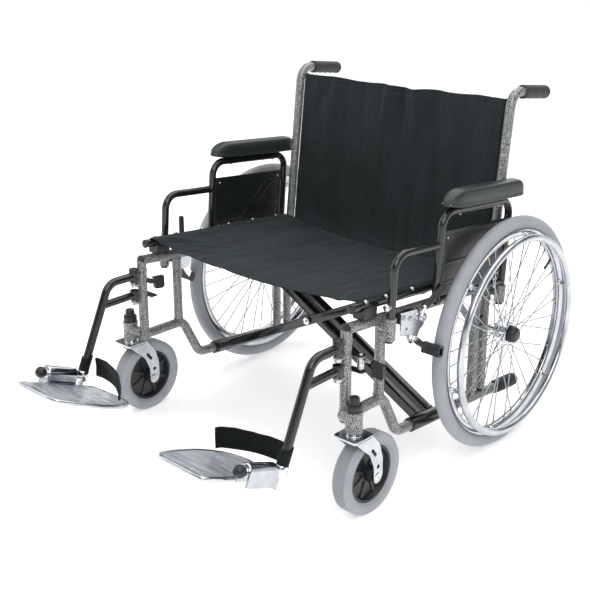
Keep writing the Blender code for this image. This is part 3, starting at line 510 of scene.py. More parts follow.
def side_frame(n, s):
    x, body = s * HALF_W, "frame_" + n
    f = Shape()
    f.tube([tilted(x, -0.177, TOP_Z), tilted(x, REAR_Y - 0.001, TOP_Z)], TUBE_R, HAMMER, 28)
    lower = bent([world(x, POST_Y, 0.239), world(x, -0.008, 0.239), tilted(x, 0.04, LOW_Z),
        tilted(x, 0.552, LOW_Z)], 0.035)
    f.tube(lower, TUBE_R, HAMMER, 28)
    f.tube([world(x, POST_Y, 0.227), world(x, POST_Y, 0.45)], TUBE_R, HAMMER, 28)
    f.tube([world(x, POST2_Y, 0.238), world(x, POST2_Y, 0.44)], REAR_R, HAMMER, 28)
    f.tube([world(x, REAR_Y, 0.104), world(x, REAR_Y, 0.411)], REAR_R, HAMMER, 28)
    f.tube([world(x, 0.272, 0.418), world(x, 0.373, 0.305)], 0.009, HAMMER, 24)
    # the tubes are tied to the cane by short plates, and the axle passes between them
    f.box((x - 0.0075, REAR_Y, 0.283), (x + 0.0075, 0.4047, 0.327), DARK_STEEL)
    f.tube([world(s * 0.343, WHEEL_Y, WHEEL_R), world(s * 0.4515, WHEEL_Y, WHEEL_R)], 0.006, ZINC, 18)
    f.nut(world(s * 0.344, WHEEL_Y, WHEEL_R), (-s, 0, 0), 0.0105, 0.008)
    # caster housing, its two races and a joining saddle
    c = s * CASTER_X
    f.lathe(world(c, CASTER_Y, 0.222), Z, mm(0, 10.8, 0, 19.6, 1.2, 20.4, 6, 20.4, 6.6, 19.8, 43.4, 19.8,
        44, 20.4, 48.8, 20.4, 50, 19.6, 50, 10.8), HAMMER, 44, True)
    f.tube([world(x, CASTER_Y + 0.006, 0.248), world(c - s * 0.012, CASTER_Y, 0.248)], 0.0135, HAMMER, 24)
    # sockets for the armrest's two legs
    for y, low, high in ((ARM_FRONT_Y, 0.399, 0.4515), (ARM_REAR_Y, 0.402, 0.448)):
        f.lathe(tilted(s * ARMREST_X, y, low), UP, [(0, 0.0107), (0, 0.0134), (0.0015, 0.014),
            (high - low - 0.0015, 0.014), (high - low, 0.0134), (high - low, 0.0107)], HAMMER, 32, True)
        f.tube([tilted(x + s * 0.008, y, (low + high) / 2),
            tilted(s * (ARMREST_X - 0.01), y, (low + high) / 2)], 0.0105, HAMMER, 20)
    for y, z, r, axis in ((POST_Y, 0.424, 0.013, Z), (POST2_Y, 0.428, 0.0125, Z), (POST_Y, 0.2535, 0.013, Z),
            (POST2_Y, 0.2535, 0.0125, Z), (REAR_Y, 0.1185, 0.0125, Z), (REAR_Y, 0.398, 0.0125, Z)):
        weld(f, world(x, y, z), axis, r)
    weld(f, world(x, 0.285, 0.4034), (0, 0.101, -0.113), 0.009)
    weld(f, world(x, 0.361, 0.3184), (0, 0.101, -0.113), 0.009)
    # hanger pins on their tabs, and the plates of the latch
    for z in (0.338, 0.388):
        f.tube([world(x, PIN_Y + 0.002, z), world(x, POST_Y, z)], 0.0072, HAMMER, 20)
        f.lathe(world(x, PIN_Y, z - 0.004), Z, mm(0, 0, 0, 9.8, 1.5, 10.4, 6.6, 10.4, 8, 9.8, 8, 5.8, 30, 5.8,
            33.5, 3.5, 34, 0), ZINC, 28)
    plug(f, tilted(x, -0.1772, TOP_Z), -BACK, 0.0134)
    plug(f, tilted(x, REAR_Y - 0.0008, TOP_Z), BACK, 0.0128)
    f.sided("side_tubes", n, body, "side_frame", "hammertone", 50)

    g = Shape()
    for z in (0.349, 0.388):
        outline = [(s * 0.335, -0.1325), (s * 0.389, -0.1275), (s * 0.392, -0.119), (s * 0.389, -0.1095),
            (s * 0.335, -0.11)]
        g.plate(outline, lambda u, v, w: world(u, v, w), z - 0.0015, z + 0.0015, BLACK)
    g.lathe(world(s * LATCH_X, LATCH_Y, 0.3512), Z, mm(0, 0, 0, 3.6, 37, 3.6, 37.5, 0), ZINC, 18)
    g.screw(world(s * LATCH_X, LATCH_Y, 0.3896), Z, 0.0058)
    g.sided("latch_plates", n, body, None, "black_paint", 38, 0.0004)

    # seat guide: a saddle on the tube, with a groove the seat rail drops into
    h = Shape()
    base = tilted(x, -0.115, 0)
    around = mm(16.5, 453.5, 17, 460, 16.8, 478, 15, 481.5, 12.4, 481.5)
    groove = [(0.0123 * cos(radians(t)), RAIL_Z + 0.0123 * sin(radians(t))) for t in range(-8, -173, -12)]
    section = around + groove + [(-u, z) for u, z in reversed(around)] + mm(-9.5, 452.8, 0, 452.4, 9.5, 452.8)
    h.plate(section, lambda u, v, w: base + X * u + UP * v + BACK * w, -0.022, 0.022, PLASTIC)
    h.sided("seat_guide_saddle", n, body, "seat_guide", "plastic", 30, 0.0009)

    # tip cap with rings of grip
    t = Shape()
    rings = mm(478, 14, 478, 16, 479.5, 16.8, 488, 17.2)
    for k in range(9):
        y = 0.494 + k * 0.0085
        rings += [(y, 0.0175), (y + 0.0008, 0.0181), (y + 0.005, 0.0181), (y + 0.0058, 0.0175)]
    rings += mm(574.5, 17.6, 579, 16.5, 581.5, 13, 582.2, 6, 582.2, 0)
    t.lathe(tilted(x, 0, LOW_Z), BACK, rings, RUBBER, 36)
    t.sided("tipping_tip", n, body, "tipping_lever_tip", "rubber", 50)


def cane(n, s):
    x, body = s * HALF_W, "frame_" + n
    corner = (x, cane_y(CANE_TOP_Z), CANE_TOP_Z)
    end = (x, 0.64, CANE_TOP_Z - CANE_LEAN * (0.64 - corner[1]))
    path = [world(x, CANE_Y, 0.119), world(x, CANE_Y, 0.352)]
    path += bent([world(x, CANE_Y, 0.352), world(x, cane_y(0.44), 0.44), world(x, cane_y(0.6), 0.6)], 0.12,
        5)[1:-1]
    path += bent([world(x, cane_y(0.44), 0.44), world(*corner), world(*end)], 0.04, 12)[1:]
    f = Shape()
    f.tube(path, REAR_R, HAMMER, 28)
    plug(f, world(x, CANE_Y, 0.1186), (0, 0, -1), 0.0127)
    f.sided("cane_tube", n, body, "back_cane", "hammertone", 50)

    # moulded grip: collar, palm swell and finger grooves underneath
    g = Shape()
    along = Vector((0, cos(0.1096), -sin(0.1096)))
    over = X.cross(along)
    start = world(x, 0.53, CANE_TOP_Z - CANE_LEAN * (0.53 - corner[1]))
    rings = []
    for k in range(61):
        d = GRIP_LENGTH * k / 60
        swell = 0.0158 + 0.0018 * min(1.0, max(0.0, (d - 0.004) / 0.01))
        if d < 0.0055:
            swell = 0.016 + 0.0019 * sin(pi * min(1.0, d / 0.0055))
        close = max(0.0, (d - GRIP_LENGTH + 0.01) / 0.01)
        swell *= sqrt(max(0.0, 1 - min(1.0, close) ** 2 * 0.85))
        ring = []
        for j, t in enumerate(turns(36)):
            under = max(0.0, -sin(t))
            finger = 0.0
            if 0.014 < d < 0.104:
                finger = 0.0013 * under ** 1.5 * (0.5 - 0.5 * cos(2 * pi * (d - 0.014) / 0.0225))
            ridge = 0.00035 * (1 if j % 3 == 0 and 0.012 < d < 0.106 and sin(t) > -0.2 else 0)
            r = swell - finger - ridge
            ring.append(start + along * d + X * (r * cos(t)) + over * (r * sin(t)))
        rings.append(ring)
    g.rings(rings, RUBBER)
    g.sided("push_grip_rubber", n, body, "push_grip", "rubber", 60)


# ---------------------------------------------------------------- brace, rails and seat
def brace():
    for label, s, bars in (("A", -1, (0.112, 0.225)), ("B", 1, (0.144, 0.193))):
        low, high = tilted(s * HALF_W, 0, LOW_Z), tilted(-s * HALF_W, 0, RAIL_Z)
        along = (high - low).normalized()
        over = along.cross(BACK).normalized()
        f = Shape()
        f.lathe(low, BACK, mm(95, 14, 95, 17.2, 96.5, 18, 283.5, 18, 285, 17.2, 285, 14), BLACK, 36, True)
        for y in bars:
            at = [low + along * 0.004, high - along * 0.004]
            rings = [[p + BACK * (y + u) + over * v for u, v in rounded(0.011, 0.012, 0.003)] for p in at]
            f.rings(rings, BLACK)
            # a flattened weld where the bar meets the sleeve and the rail
            for p, r in ((low, 0.018), (high, 0.011)):
                sign = 1 if p is low else -1
                beads = ((-0.002, 0.0012), (0.0006, 0.0016), (0.003, 0.0002))
                f.rings([[p + along * (sign * (r + d)) + BACK * (y + u) + over * v
                    for u, v in rounded(0.011 + e, 0.012 + e, 0.003 + e)] for d, e in beads], BLACK)
        f.done("brace_bars_" + label, "brace_" + label, 0.0006, replaces=("brace_arm_" + label,),
            slot="black_paint", angle=40)
        # seat rail on top of this arm
        n = "R" if s > 0 else "L"
        x = -s * HALF_W
        r = Shape()
        r.tube([tilted(x, -0.163, RAIL_Z), tilted(x, 0.383, RAIL_Z)], RAIL_R, BLACK, 28)
        plug(r, tilted(x, -0.163, RAIL_Z), -BACK, 0.0113)
        plug(r, tilted(x, 0.383, RAIL_Z), BACK, 0.0113)
        r.sided("seat_rail_tube", n, "brace_" + label, "seat_rail", "black_paint", 50)
    centre = tilted(0, 0, (LOW_Z + RAIL_Z) / 2)
    b = Shape()
    b.lathe(centre, BACK, [(0.1, 0.006), (0.2372, 0.006)], ZINC, 20)
    b.nut(centre + BACK * 0.1, -BACK, 0.0108, 0.0075, CHROME)
    b.lathe(centre, BACK, mm(237, 6, 237, 10.8, 238.2, 11.2, 238.5, 11.2, 239.5, 10, 243, 8.5, 244.2, 5,
        244.4, 0), CHROME, 32)
    b.done("pivot_bolt", "brace_B", 0.0002, replaces=("brace_pivot_bolt",), slot="chrome", angle=35)


def smooth(a, b, t):
    t = min(1.0, max(0.0, (t - a) / (b - a)))
    return t * t * (3 - 2 * t)


def sheet_shape(columns, rows, surface, thickness, mat):
    """A sheet with both faces; surface(column, row), each from 0 to 1, gives (point, normal)."""
    f = Shape()
    n = len(rows)
    top, under = [], []
    for c in columns:
        for r in rows:
            at, normal = surface(c, r)
            top.append(at + normal * thickness / 2)
            under.append(at - normal * thickness / 2)
    size = len(top)
    faces = []
    for i in range(len(columns) - 1):
        for k in range(n - 1):
            a, b, c, d = i * n + k, i * n + k + 1, (i + 1) * n + k + 1, (i + 1) * n + k
            faces += [(a, b, c, d), (size + a, size + d, size + c, size + b)]
    return f.add(top + under, faces + border(len(columns), n, size), mat)


def stitch_row(shape, surface, across, fixed, start, span, count, length, lift, sides=(1,)):
    """Stitches along a sheet: at a fixed row where across is true, or else at a fixed column."""
    for k in range(count):
        c = start + span * k / count
        ends = ((c, fixed), (c + length, fixed)) if across else ((fixed, c), (fixed, c + length))
        (a, na), (b, nb) = (surface(*end) for end in ends)
        for side in sides:
            low, high = lift * side, (lift + STITCH_RISE) * side
            shape.tube([a + na * low, (a + b) / 2 + na * high, b + nb * low], STITCH_R, STITCH, 5)


def crease(x, y, at, angle, width, length, depth):
    """A soft fold: a ridge across angle, fading over its length."""
    u, v = x - at[0], y - at[1]
    along, across = u * cos(angle) + v * sin(angle), -u * sin(angle) + v * cos(angle)
    return FOLD_GAIN * depth * exp(-(across / width) ** 2) * exp(-(along / length) ** 2)


SEAT_FOLDS = [((-0.315, -0.105), 0.95, 0.012, 0.075, 0.0034), ((-0.29, -0.11), 1.15, 0.01, 0.065, -0.0026),
    ((-0.262, -0.085), 1.05, 0.011, 0.08, 0.0026), ((-0.225, -0.12), 0.75, 0.012, 0.06, -0.002),
    ((-0.31, 0.02), 0.25, 0.014, 0.07, 0.002), ((0.31, -0.1), 2.3, 0.012, 0.06, 0.0024),
    ((0.285, -0.115), 2.1, 0.01, 0.055, -0.0018), ((0.3, 0.19), 0.12, 0.016, 0.07, 0.0018),
    ((0.295, 0.33), 0.85, 0.012, 0.06, 0.0026), ((-0.295, 0.33), 2.25, 0.012, 0.06, 0.0026),
    ((0.1, 0.33), 1.45, 0.02, 0.06, 0.0018), ((-0.08, -0.11), 1.6, 0.022, 0.05, 0.0016)]
BACK_FOLDS = [((0.005, 0.845), 1.62, 0.016, 0.11, 0.005), ((-0.042, 0.86), 1.5, 0.013, 0.075, -0.0036),
    ((0.05, 0.855), 1.72, 0.013, 0.085, -0.0036), ((0.115, 0.835), 1.48, 0.018, 0.08, 0.003),
    ((-0.13, 0.85), 1.6, 0.018, 0.075, 0.0028), ((-0.27, 0.83), 1.15, 0.015, 0.08, 0.0022),
    ((0.275, 0.83), 2.0, 0.015, 0.08, 0.0022), ((0.02, 0.47), 1.57, 0.03, 0.06, 0.003),
    ((-0.25, 0.48), 2.1, 0.014, 0.07, 0.002), ((0.25, 0.48), 1.05, 0.014, 0.07, 0.002)]


def seat():
    """The sling seat: hemmed nylon, sagging and gathered, with its sides folded round the rails."""
    half, front, back = 0.35, -0.1465, 0.3735
    across = [k / 96 for k in range(97)]
    rows = [k / 70 for k in range(71)]

    def surface(c, r):
        # the arc length is kept by wrapping the last stretch down round each rail
        x = (c * 2 - 1) * 0.3685
        over = max(0.0, abs(x) - half)
        xx = (1 if x > 0 else -1) * min(abs(x), half)
        y = front + (back - front) * r
        pull = 0.006 * sin(pi * c) ** 2
        y += pull if r < 0.02 else (-pull if r > 0.98 else pull * (0.5 - r) * 2 * 0.8)
        z = 0.47 + 0.0262 * min(1.0, abs(xx) / half) ** 2
        folds = sum(crease(xx, y, *fold) for fold in SEAT_FOLDS) * smooth(0.0, 0.1, 1 - abs(xx) / half)
        ripple = (0.0012 * noise.noise(Vector((xx * 9, y * 9, 1.7)))
            + 0.0005 * noise.noise(Vector((xx * 30, y * 30, 4.0))))
        hem = -0.0009 * (exp(-((y - front - 0.018) / 0.0016) ** 2)
            + exp(-((back - 0.018 - y) / 0.0016) ** 2))
        z += (folds + ripple * smooth(0.0, 0.12, 1 - abs(xx) / half)) + hem
        at = tilted(xx, y, z)
        normal = UP.copy()
        if over > 0:
            turn = over / 0.0135
            s = 1 if x > 0 else -1
            centre = tilted(s * (HALF_W - 0.007), y, 0.4962 - 0.0135)
            at = centre + X * (s * 0.0135 * sin(turn)) + UP * (0.0135 * cos(turn))
            normal = X * (s * sin(turn)) + UP * cos(turn)
        return at, normal

    piece = sheet_shape(across, rows, surface, 0.0034, NYLON_SEAT).done("seat_cover", "seat", 0,
        replaces=("seat_sling",), slot="webbing", angle=70)
    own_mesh(piece)

    # stitch rows along the hems and beside the rails
    t = Shape()
    for row in (0.036, 0.964):
        stitch_row(t, surface, True, row, 0.035, 0.93, 118, 0.0052, 0.002)
    for column in (0.062, 0.074, 0.926, 0.938):
        stitch_row(t, surface, False, column, 0.02, 0.96, 86, 0.0072, 0.002)
    stitches = t.done("seat_stitching", "seat", 0, slot="webbing", angle=60)
    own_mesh(stitches)


def rail_screws():
    """Chrome screws through the seat cover's edge, above each rail."""
    for n, s in (("L", 1), ("R", -1)):
        f = Shape()
        for y in (-0.125, -0.052, 0.046, 0.148, 0.245, 0.343):
            lean = (UP + X * (s * 0.75)).normalized()
            spot = tilted(s * HALF_W, y, RAIL_Z) + lean * 0.0152
            f.lathe(spot, lean, mm(-1, 6.2, 0.3, 6.2, 0.3, 0), ZINC, 24)
            f.screw(spot + lean * 0.0003, lean, 0.0043, CHROME)
        piece = f.sided("seat_screws", n, "seat", None, "chrome", 40)
        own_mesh(piece)


def back():
    """The back sling: a hemmed sheet, wavy along its top, whose edges turn back along the canes."""
    across = [k / 110 for k in range(111)]
    rows = [k / 72 for k in range(73)]
    half, low, high = 0.3395, 0.419, 0.8835
    reach = half + 0.016

    def surface(c, r):
        x = (c * 2 - 1) * reach
        s = 1 if x > 0 else -1
        over = max(0.0, abs(x) - half)
        xx = s * min(abs(x), half)
        dip = 0.0065 * sin(pi * (xx / half + 1) / 2) ** 2 + 0.003 * sin(xx * 38 + 0.7) * (1 - abs(xx) / half)
        top = high - max(0.0, dip)
        z = low + (top - low) * r
        bulge = 0.022 * (1 - (xx / half) ** 2)
        fade = smooth(0.0, 0.1, 1 - abs(xx) / half)
        folds = sum(crease(xx, z, *fold) for fold in BACK_FOLDS) * fade
        ripple = (0.0016 * noise.noise(Vector((xx * 7, z * 6, 8.0)))
            + 0.0006 * noise.noise(Vector((xx * 24, z * 18, 2.0)))) * fade
        hem = 0.001 * (exp(-((top - 0.022 - z) / 0.0017) ** 2) + exp(-((z - low - 0.022) / 0.0017) ** 2))
        seam = 0.0009 * exp(-((abs(xx) - 0.317) / 0.0018) ** 2)
        y = cane_y(z) + bulge + folds + ripple + hem + seam
        at = world(xx, y, z)
        normal = Vector((0, -1, 0))
        if over > 0:
            # the edge turns back along the cane's inner side
            turn = min(1.0, over / 0.011)
            at += X * (s * 0.0008 * sin(pi * turn / 2)) + Vector((0, over * 0.92, 0))
            normal = (Vector((0, -1, 0)) * cos(turn * 1.35) + X * (s * sin(turn * 1.35))).normalized()
        return at, normal

    piece = sheet_shape(across, rows, surface, 0.0036, NYLON_BACK_SHADED).done("back_cover", "frame_L", 0,
        replaces=("back_sling",), slot="webbing", angle=70)
    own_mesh(piece)

    t = Shape()
    for row in (0.046, 0.954):
        stitch_row(t, surface, True, row, 0.05, 0.9, 110, 0.0053, 0.0021, (1, -1))
    for column in (0.078, 0.922):
        stitch_row(t, surface, False, column, 0.02, 0.96, 80, 0.0076, 0.0021, (1, -1))
    stitches = t.done("back_stitching", "frame_L", 0, slot="webbing", angle=60)
    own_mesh(stitches)


# ---------------------------------------------------------------- armrests
def armrest(n, s):
    x, body = s * ARMREST_X, "armrest_" + n
    loop = bent([tilted(x, ARM_LOOP_Y, ARM_BASE_Z), tilted(x, ARM_LOOP_Y, ARM_LOOP_Z),
        tilted(x, ARM_REAR_Y, ARM_LOOP_Z), tilted(x, ARM_REAR_Y, 0.396)], 0.038, 12)
    desk = bent([tilted(x, ARM_FRONT_Y, 0.393), tilted(x, ARM_FRONT_Y, ARM_CUT_Z),
        tilted(x, ARM_LOOP_Y, ARM_CUT_Z)], 0.038, 12)
    f = Shape()
    f.tube(loop, ARM_R, BLACK, 28)
    f.tube(desk, ARM_R, BLACK, 28)
    f.tube([tilted(x, ARM_LOOP_Y, ARM_BASE_Z), tilted(x, ARM_REAR_Y, ARM_BASE_Z)], 0.0085, BLACK, 24)
    weld(f, tilted(x, ARM_LOOP_Y - 0.0092, ARM_CUT_Z), BACK, 0.0096, BLACK)
    weld(f, tilted(x, ARM_REAR_Y - 0.0096, ARM_BASE_Z), BACK, 0.0083, BLACK)
    weld(f, tilted(x, ARM_LOOP_Y + 0.0096, ARM_BASE_Z), BACK, 0.0083, BLACK)
    f.lathe(tilted(x, ARM_FRONT_Y - 0.0098, BUTTON_Z), -BACK, mm(-2, 6.6, 0, 6.6, 0.4, 5.8, 0.4, 4), ZINC, 24)
    # the pad's two fixing screws from below
    for y in (0.175, 0.345):
        f.screw(tilted(x, y, ARM_LOOP_Z - ARM_R + 0.0004), -UP, 0.0046)
    f.sided("armrest_tubes", n, body, "armrest_frame", "black_paint", 50)

    b = Shape()
    b.lathe(tilted(x, ARM_FRONT_Y, BUTTON_Z), -BACK, mm(7, 0, 7, 2.8, 15, 3, 15.2, 5.8, 15.8, 7.4, 17, 8.4,
        19, 8.7, 21, 8.2, 22.8, 6.6, 23.8, 4, 24.1, 0), CHROME, 36)
    b.sided("armrest_push", n, "button_" + n, "armrest_button", "chrome", 50)
    skirt(n, s, x, body)


RIBS = [mm(14, 78, 148, 80, 200, 134, 252, 138), mm(150, 70, 170, 70, 222, 124, 252, 126),
    mm(20, 30, 80, 31, 122, 70, 150, 70), mm(24, 20, 88, 21, 132, 61, 250, 62)]


def apart(at, line):
    """The distance from a point to a polyline, both flat."""
    best = 1.0
    for a, b in zip(line, line[1:]):
        a, b = Vector(a), Vector(b)
        t = min(1.0, max(0.0, (at - a).dot(b - a) / (b - a).length_squared))
        best = min(best, (at - a.lerp(b, t)).length)
    return best


def skirt(n, s, x, body):
    """The clothing guard: a thin moulded panel with raised zig-zag ribs, a rolled lip and two screws."""
    f = Shape()
    y0, y1, z0, z1 = 0.1178, 0.3842, 0.4693, 0.6257
    nu, nv = 150, 90

    def height(u, v):
        at = Vector(((u - y0) / (y1 - y0) * 0.2664, (v - z0) / (z1 - z0) * 0.1564))
        near = min(apart(at, line) for line in RIBS)
        inside = min(u - y0, y1 - u, v - z0, z1 - v)
        return 0.0014 * exp(-(near / 0.0026) ** 2) + 0.001 * exp(-((inside - 0.006) / 0.003) ** 2)

    points, faces = [], []
    for side in (1, -1):
        for i in range(nu + 1):
            for j in range(nv + 1):
                u, v = y0 + (y1 - y0) * i / nu, z0 + (z1 - z0) * j / nv
                points.append(tilted(x + side * (0.0016 + height(u, v)), u, v))
    size = (nu + 1) * (nv + 1)
    for i in range(nu):
        for j in range(nv):
            a = i * (nv + 1) + j
            quad = (a, a + 1, a + nv + 2, a + nv + 1)
            faces += [quad, tuple(size + q for q in reversed(quad))]
    f.add(points, faces + border(nu + 1, nv + 1, size), PLASTIC)
    for y, z in ((0.132, 0.61), (0.37, 0.61), (0.132, 0.484), (0.37, 0.484)):
        for side in (1, -1):
            f.screw(tilted(x + side * 0.0022, y, z), (side, 0, 0), 0.0038, ZINC, 16)
    f.sided("skirt_panel", n, body, "skirt_guard", "plastic", 60)


def pad(n, s):
    """The armrest pad: moulded foam, crowned, with a seam round its side and two dimples near its front."""
    x, body = s * (ARMREST_X + 0.005), "armrest_" + n
    low, high = 0.6826, 0.726
    y0, y1 = 0.1035, 0.431
    rings = []
    stations = 74
    for i in range(stations + 1):
        t = i / stations
        t = 0.5 - 0.5 * cos(pi * t)
        y = y0 + (y1 - y0) * t
        front = min(1.0, (y - y0) / 0.06)
        rear = min(1.0, (y1 - y) / 0.034)
        half = 0.0253 * sqrt(max(0.0, 1 - (1 - front) ** 2.6)) * sqrt(max(0.0, 1 - (1 - rear) ** 2.4))
        half = max(half, 0.003)
        drop = 0.025 * (1 - front) ** 2.2 + 0.018 * (1 - rear) ** 2.4
        top = high - drop
        bottom = low + 0.006 * (1 - front) ** 2 + 0.003 * (1 - rear) ** 2
        ring = []
        lip = bottom + 0.0105
        for a in turns(64):
            ca, sa = cos(a), sin(a)
            u = (abs(ca) ** 0.55) * (1 if ca > 0 else -1)
            if sa >= 0:
                v = lip + (top - lip) * (abs(sa) ** 0.66)
                w = (half - 0.0013) * u
            else:
                v = lip - (lip - bottom) * (abs(sa) ** 0.42)
                w = half * u
            w -= (0.0016 if u > 0 else -0.0016) * exp(-((v - lip - 0.0012) / 0.0011) ** 2)
            ring.append(tilted(x + w, y, v))
        rings.append(ring)
    f = Shape()
    f.rings(rings, PAD)
    # two recessed fixings in the front of the lip
    for w in (-0.01, 0.01):
        at = tilted(x + w, 0.1062 + abs(w) * 0.35, 0.6935)
        f.lathe(at, -BACK, mm(-2, 2.8, 1.2, 2.8, 1.2, 1.8, -0.6, 1.6, -0.6, 0), ZINC, 16)
    piece = f.sided("armrest_cushion", n, body, "armrest_pad", "pad", 80, sub=1)


# ---------------------------------------------------------------- casters
def caster(n, s):
    x, y, turn, roll = s * CASTER_X, CASTER_Y, "caster_swivel_" + n, "caster_wheel_" + n
    f = Shape()
    f.lathe(world(x, y, 0), Z, mm(206, 0, 206, 9, 298, 9, 298.5, 8, 298.5, 0), ZINC, 28)
    f.lathe(world(x, y, 0), Z, mm(213.5, 10, 213.5, 18, 215, 18.6, 217, 18.6, 217.8, 17, 221.2, 17,
        221.3, 10.5), CHROME, 40, True)
    f.plate(rounded(0.0335, 0.0335, 0.008, 6), lambda u, v, w: world(x + u, y + v, w), 0.208, 0.2135, CAST)
    outline = mm(-30, 209.5, 30, 209.5, 54, 180, 66, 140, 66, 98, 58, 85, 44, 82, 35, 90, 34, 128, 18, 165,
        -12, 192)
    soft = round_loop(outline, 0.008)
    holes = [hole(0.033, 0.166, 0.0044, 0.009, 0.62), hole(0.0495, 0.125, 0.0052)]
    for low in (-0.0335, 0.0295):
        f.plate(soft, lambda u, v, w: world(x + w, y + u, v), low, low + 0.004, CAST, holes)
    f.lathe(world(x, y + TRAIL, CASTER_R), X, mm(-36, 0, -36, 4.8, 36, 4.8, 36, 0), ZINC, 24)
    f.nut(world(x - s * 0.0336, y + TRAIL, CASTER_R), (-s, 0, 0), 0.0092, 0.0036)
    f.lathe(world(x + s * 0.0334, y + TRAIL, CASTER_R), (s, 0, 0),
        mm(0, 0, 0, 9.6, 0.8, 9.8, 1.8, 9, 3.2, 6.5, 3.6, 4, 2.2, 3.6, 2.2, 0), CHROME, 30)
    f.sided("caster_fork_arms", n, turn, "caster_fork", "chrome", 35, 0.0005)

    c = Shape()
    c.lathe(world(x, y, 0), Z, mm(272.6, 9.8, 272.6, 16.8, 274.5, 18, 287, 18, 288.5, 17.2, 289.2, 13,
        290, 12.6, 302, 12.3, 305, 11.2, 306.5, 8.2, 307, 4, 307, 0), PLASTIC, 44)
    c.sided("caster_dust_cap", n, turn, "caster_cap", "plastic", 40)

    at = world(x, y + TRAIL, CASTER_R)
    t = Shape()
    h, r = 0.0235, CASTER_R
    profile = [(-0.0165, 0.0702), (-0.018, 0.0735), (-h * 0.94, r - 0.024), (-h, r - 0.018),
        (-h * 0.985, r - 0.01), (-h * 0.9, r - 0.0045), (-h * 0.74, r - 0.0016)]
    for k in range(-5, 6):
        profile += [(k * 0.0029 - 0.0008, r - 0.0002), (k * 0.0029 - 0.0004, r - 0.0014),
            (k * 0.0029 + 0.0004, r - 0.0014), (k * 0.0029 + 0.0008, r - 0.0002)]
    profile += [(h * 0.74, r - 0.0016), (h * 0.9, r - 0.0045), (h * 0.985, r - 0.01), (h, r - 0.018),
        (h * 0.94, r - 0.024), (0.018, 0.0735), (0.0165, 0.0702)]
    t.lathe(at, X, profile, TYRE, 96, True)
    t.sided("caster_tread", n, roll, "caster_tyre", "grey_tyre", 50)

    w = Shape()
    w.lathe(at, X, mm(-16, 69.2, 16, 69.2, 16.8, 68, 16, 64, 8, 61.2, 5, 59.5, -5, 59.5, -8, 61.2, -16, 64,
        -16.8, 68), PLASTIC, 72, True)
    w.lathe(at, X, mm(-25.5, 6.4, -26, 12, -25, 16, -12, 20, 12, 20, 25, 16, 26, 12, 25.5, 6.4), PLASTIC, 48,
        True)
    w.lathe(at, X, mm(-3.5, 61, -3.5, 19, 3.5, 19, 3.5, 61), PLASTIC, 72, True)
    for k in range(8):
        a = 2 * pi * (k + 0.5) / 8
        d, q = Vector((0, cos(a), sin(a))), Vector((0, -sin(a), cos(a)))
        rings = []
        for rr, wide, thick in ((0.017, 0.007, 0.0085), (0.03, 0.0048, 0.007), (0.045, 0.0044, 0.0065),
                (0.0605, 0.0066, 0.0085)):
            rings.append([at + d * rr + q * u + X * v for u, v in rounded(wide, thick, 0.0018, 2)])
        w.rings(rings, PLASTIC)
    w.sided("caster_spokes", n, roll, "caster_rim", "plastic", 40, 0.0005)


def round_loop(outline, radius):
    """A closed outline with its corners eased."""
    n, out = len(outline), []
    for k in range(n):
        before, corner, after = (Vector((*outline[(k + d) % n], 0)) for d in (-1, 0, 1))
        a, b = before - corner, after - corner
        cut = min(radius, a.length * 0.45, b.length * 0.45)
        p, q = corner + a.normalized() * cut, corner + b.normalized() * cut
        for i in range(6):
            t = i / 5
            at = p * (1 - t) ** 2 + corner * (2 * t * (1 - t)) + q * t ** 2
            out.append((at.x, at.y))
    return out


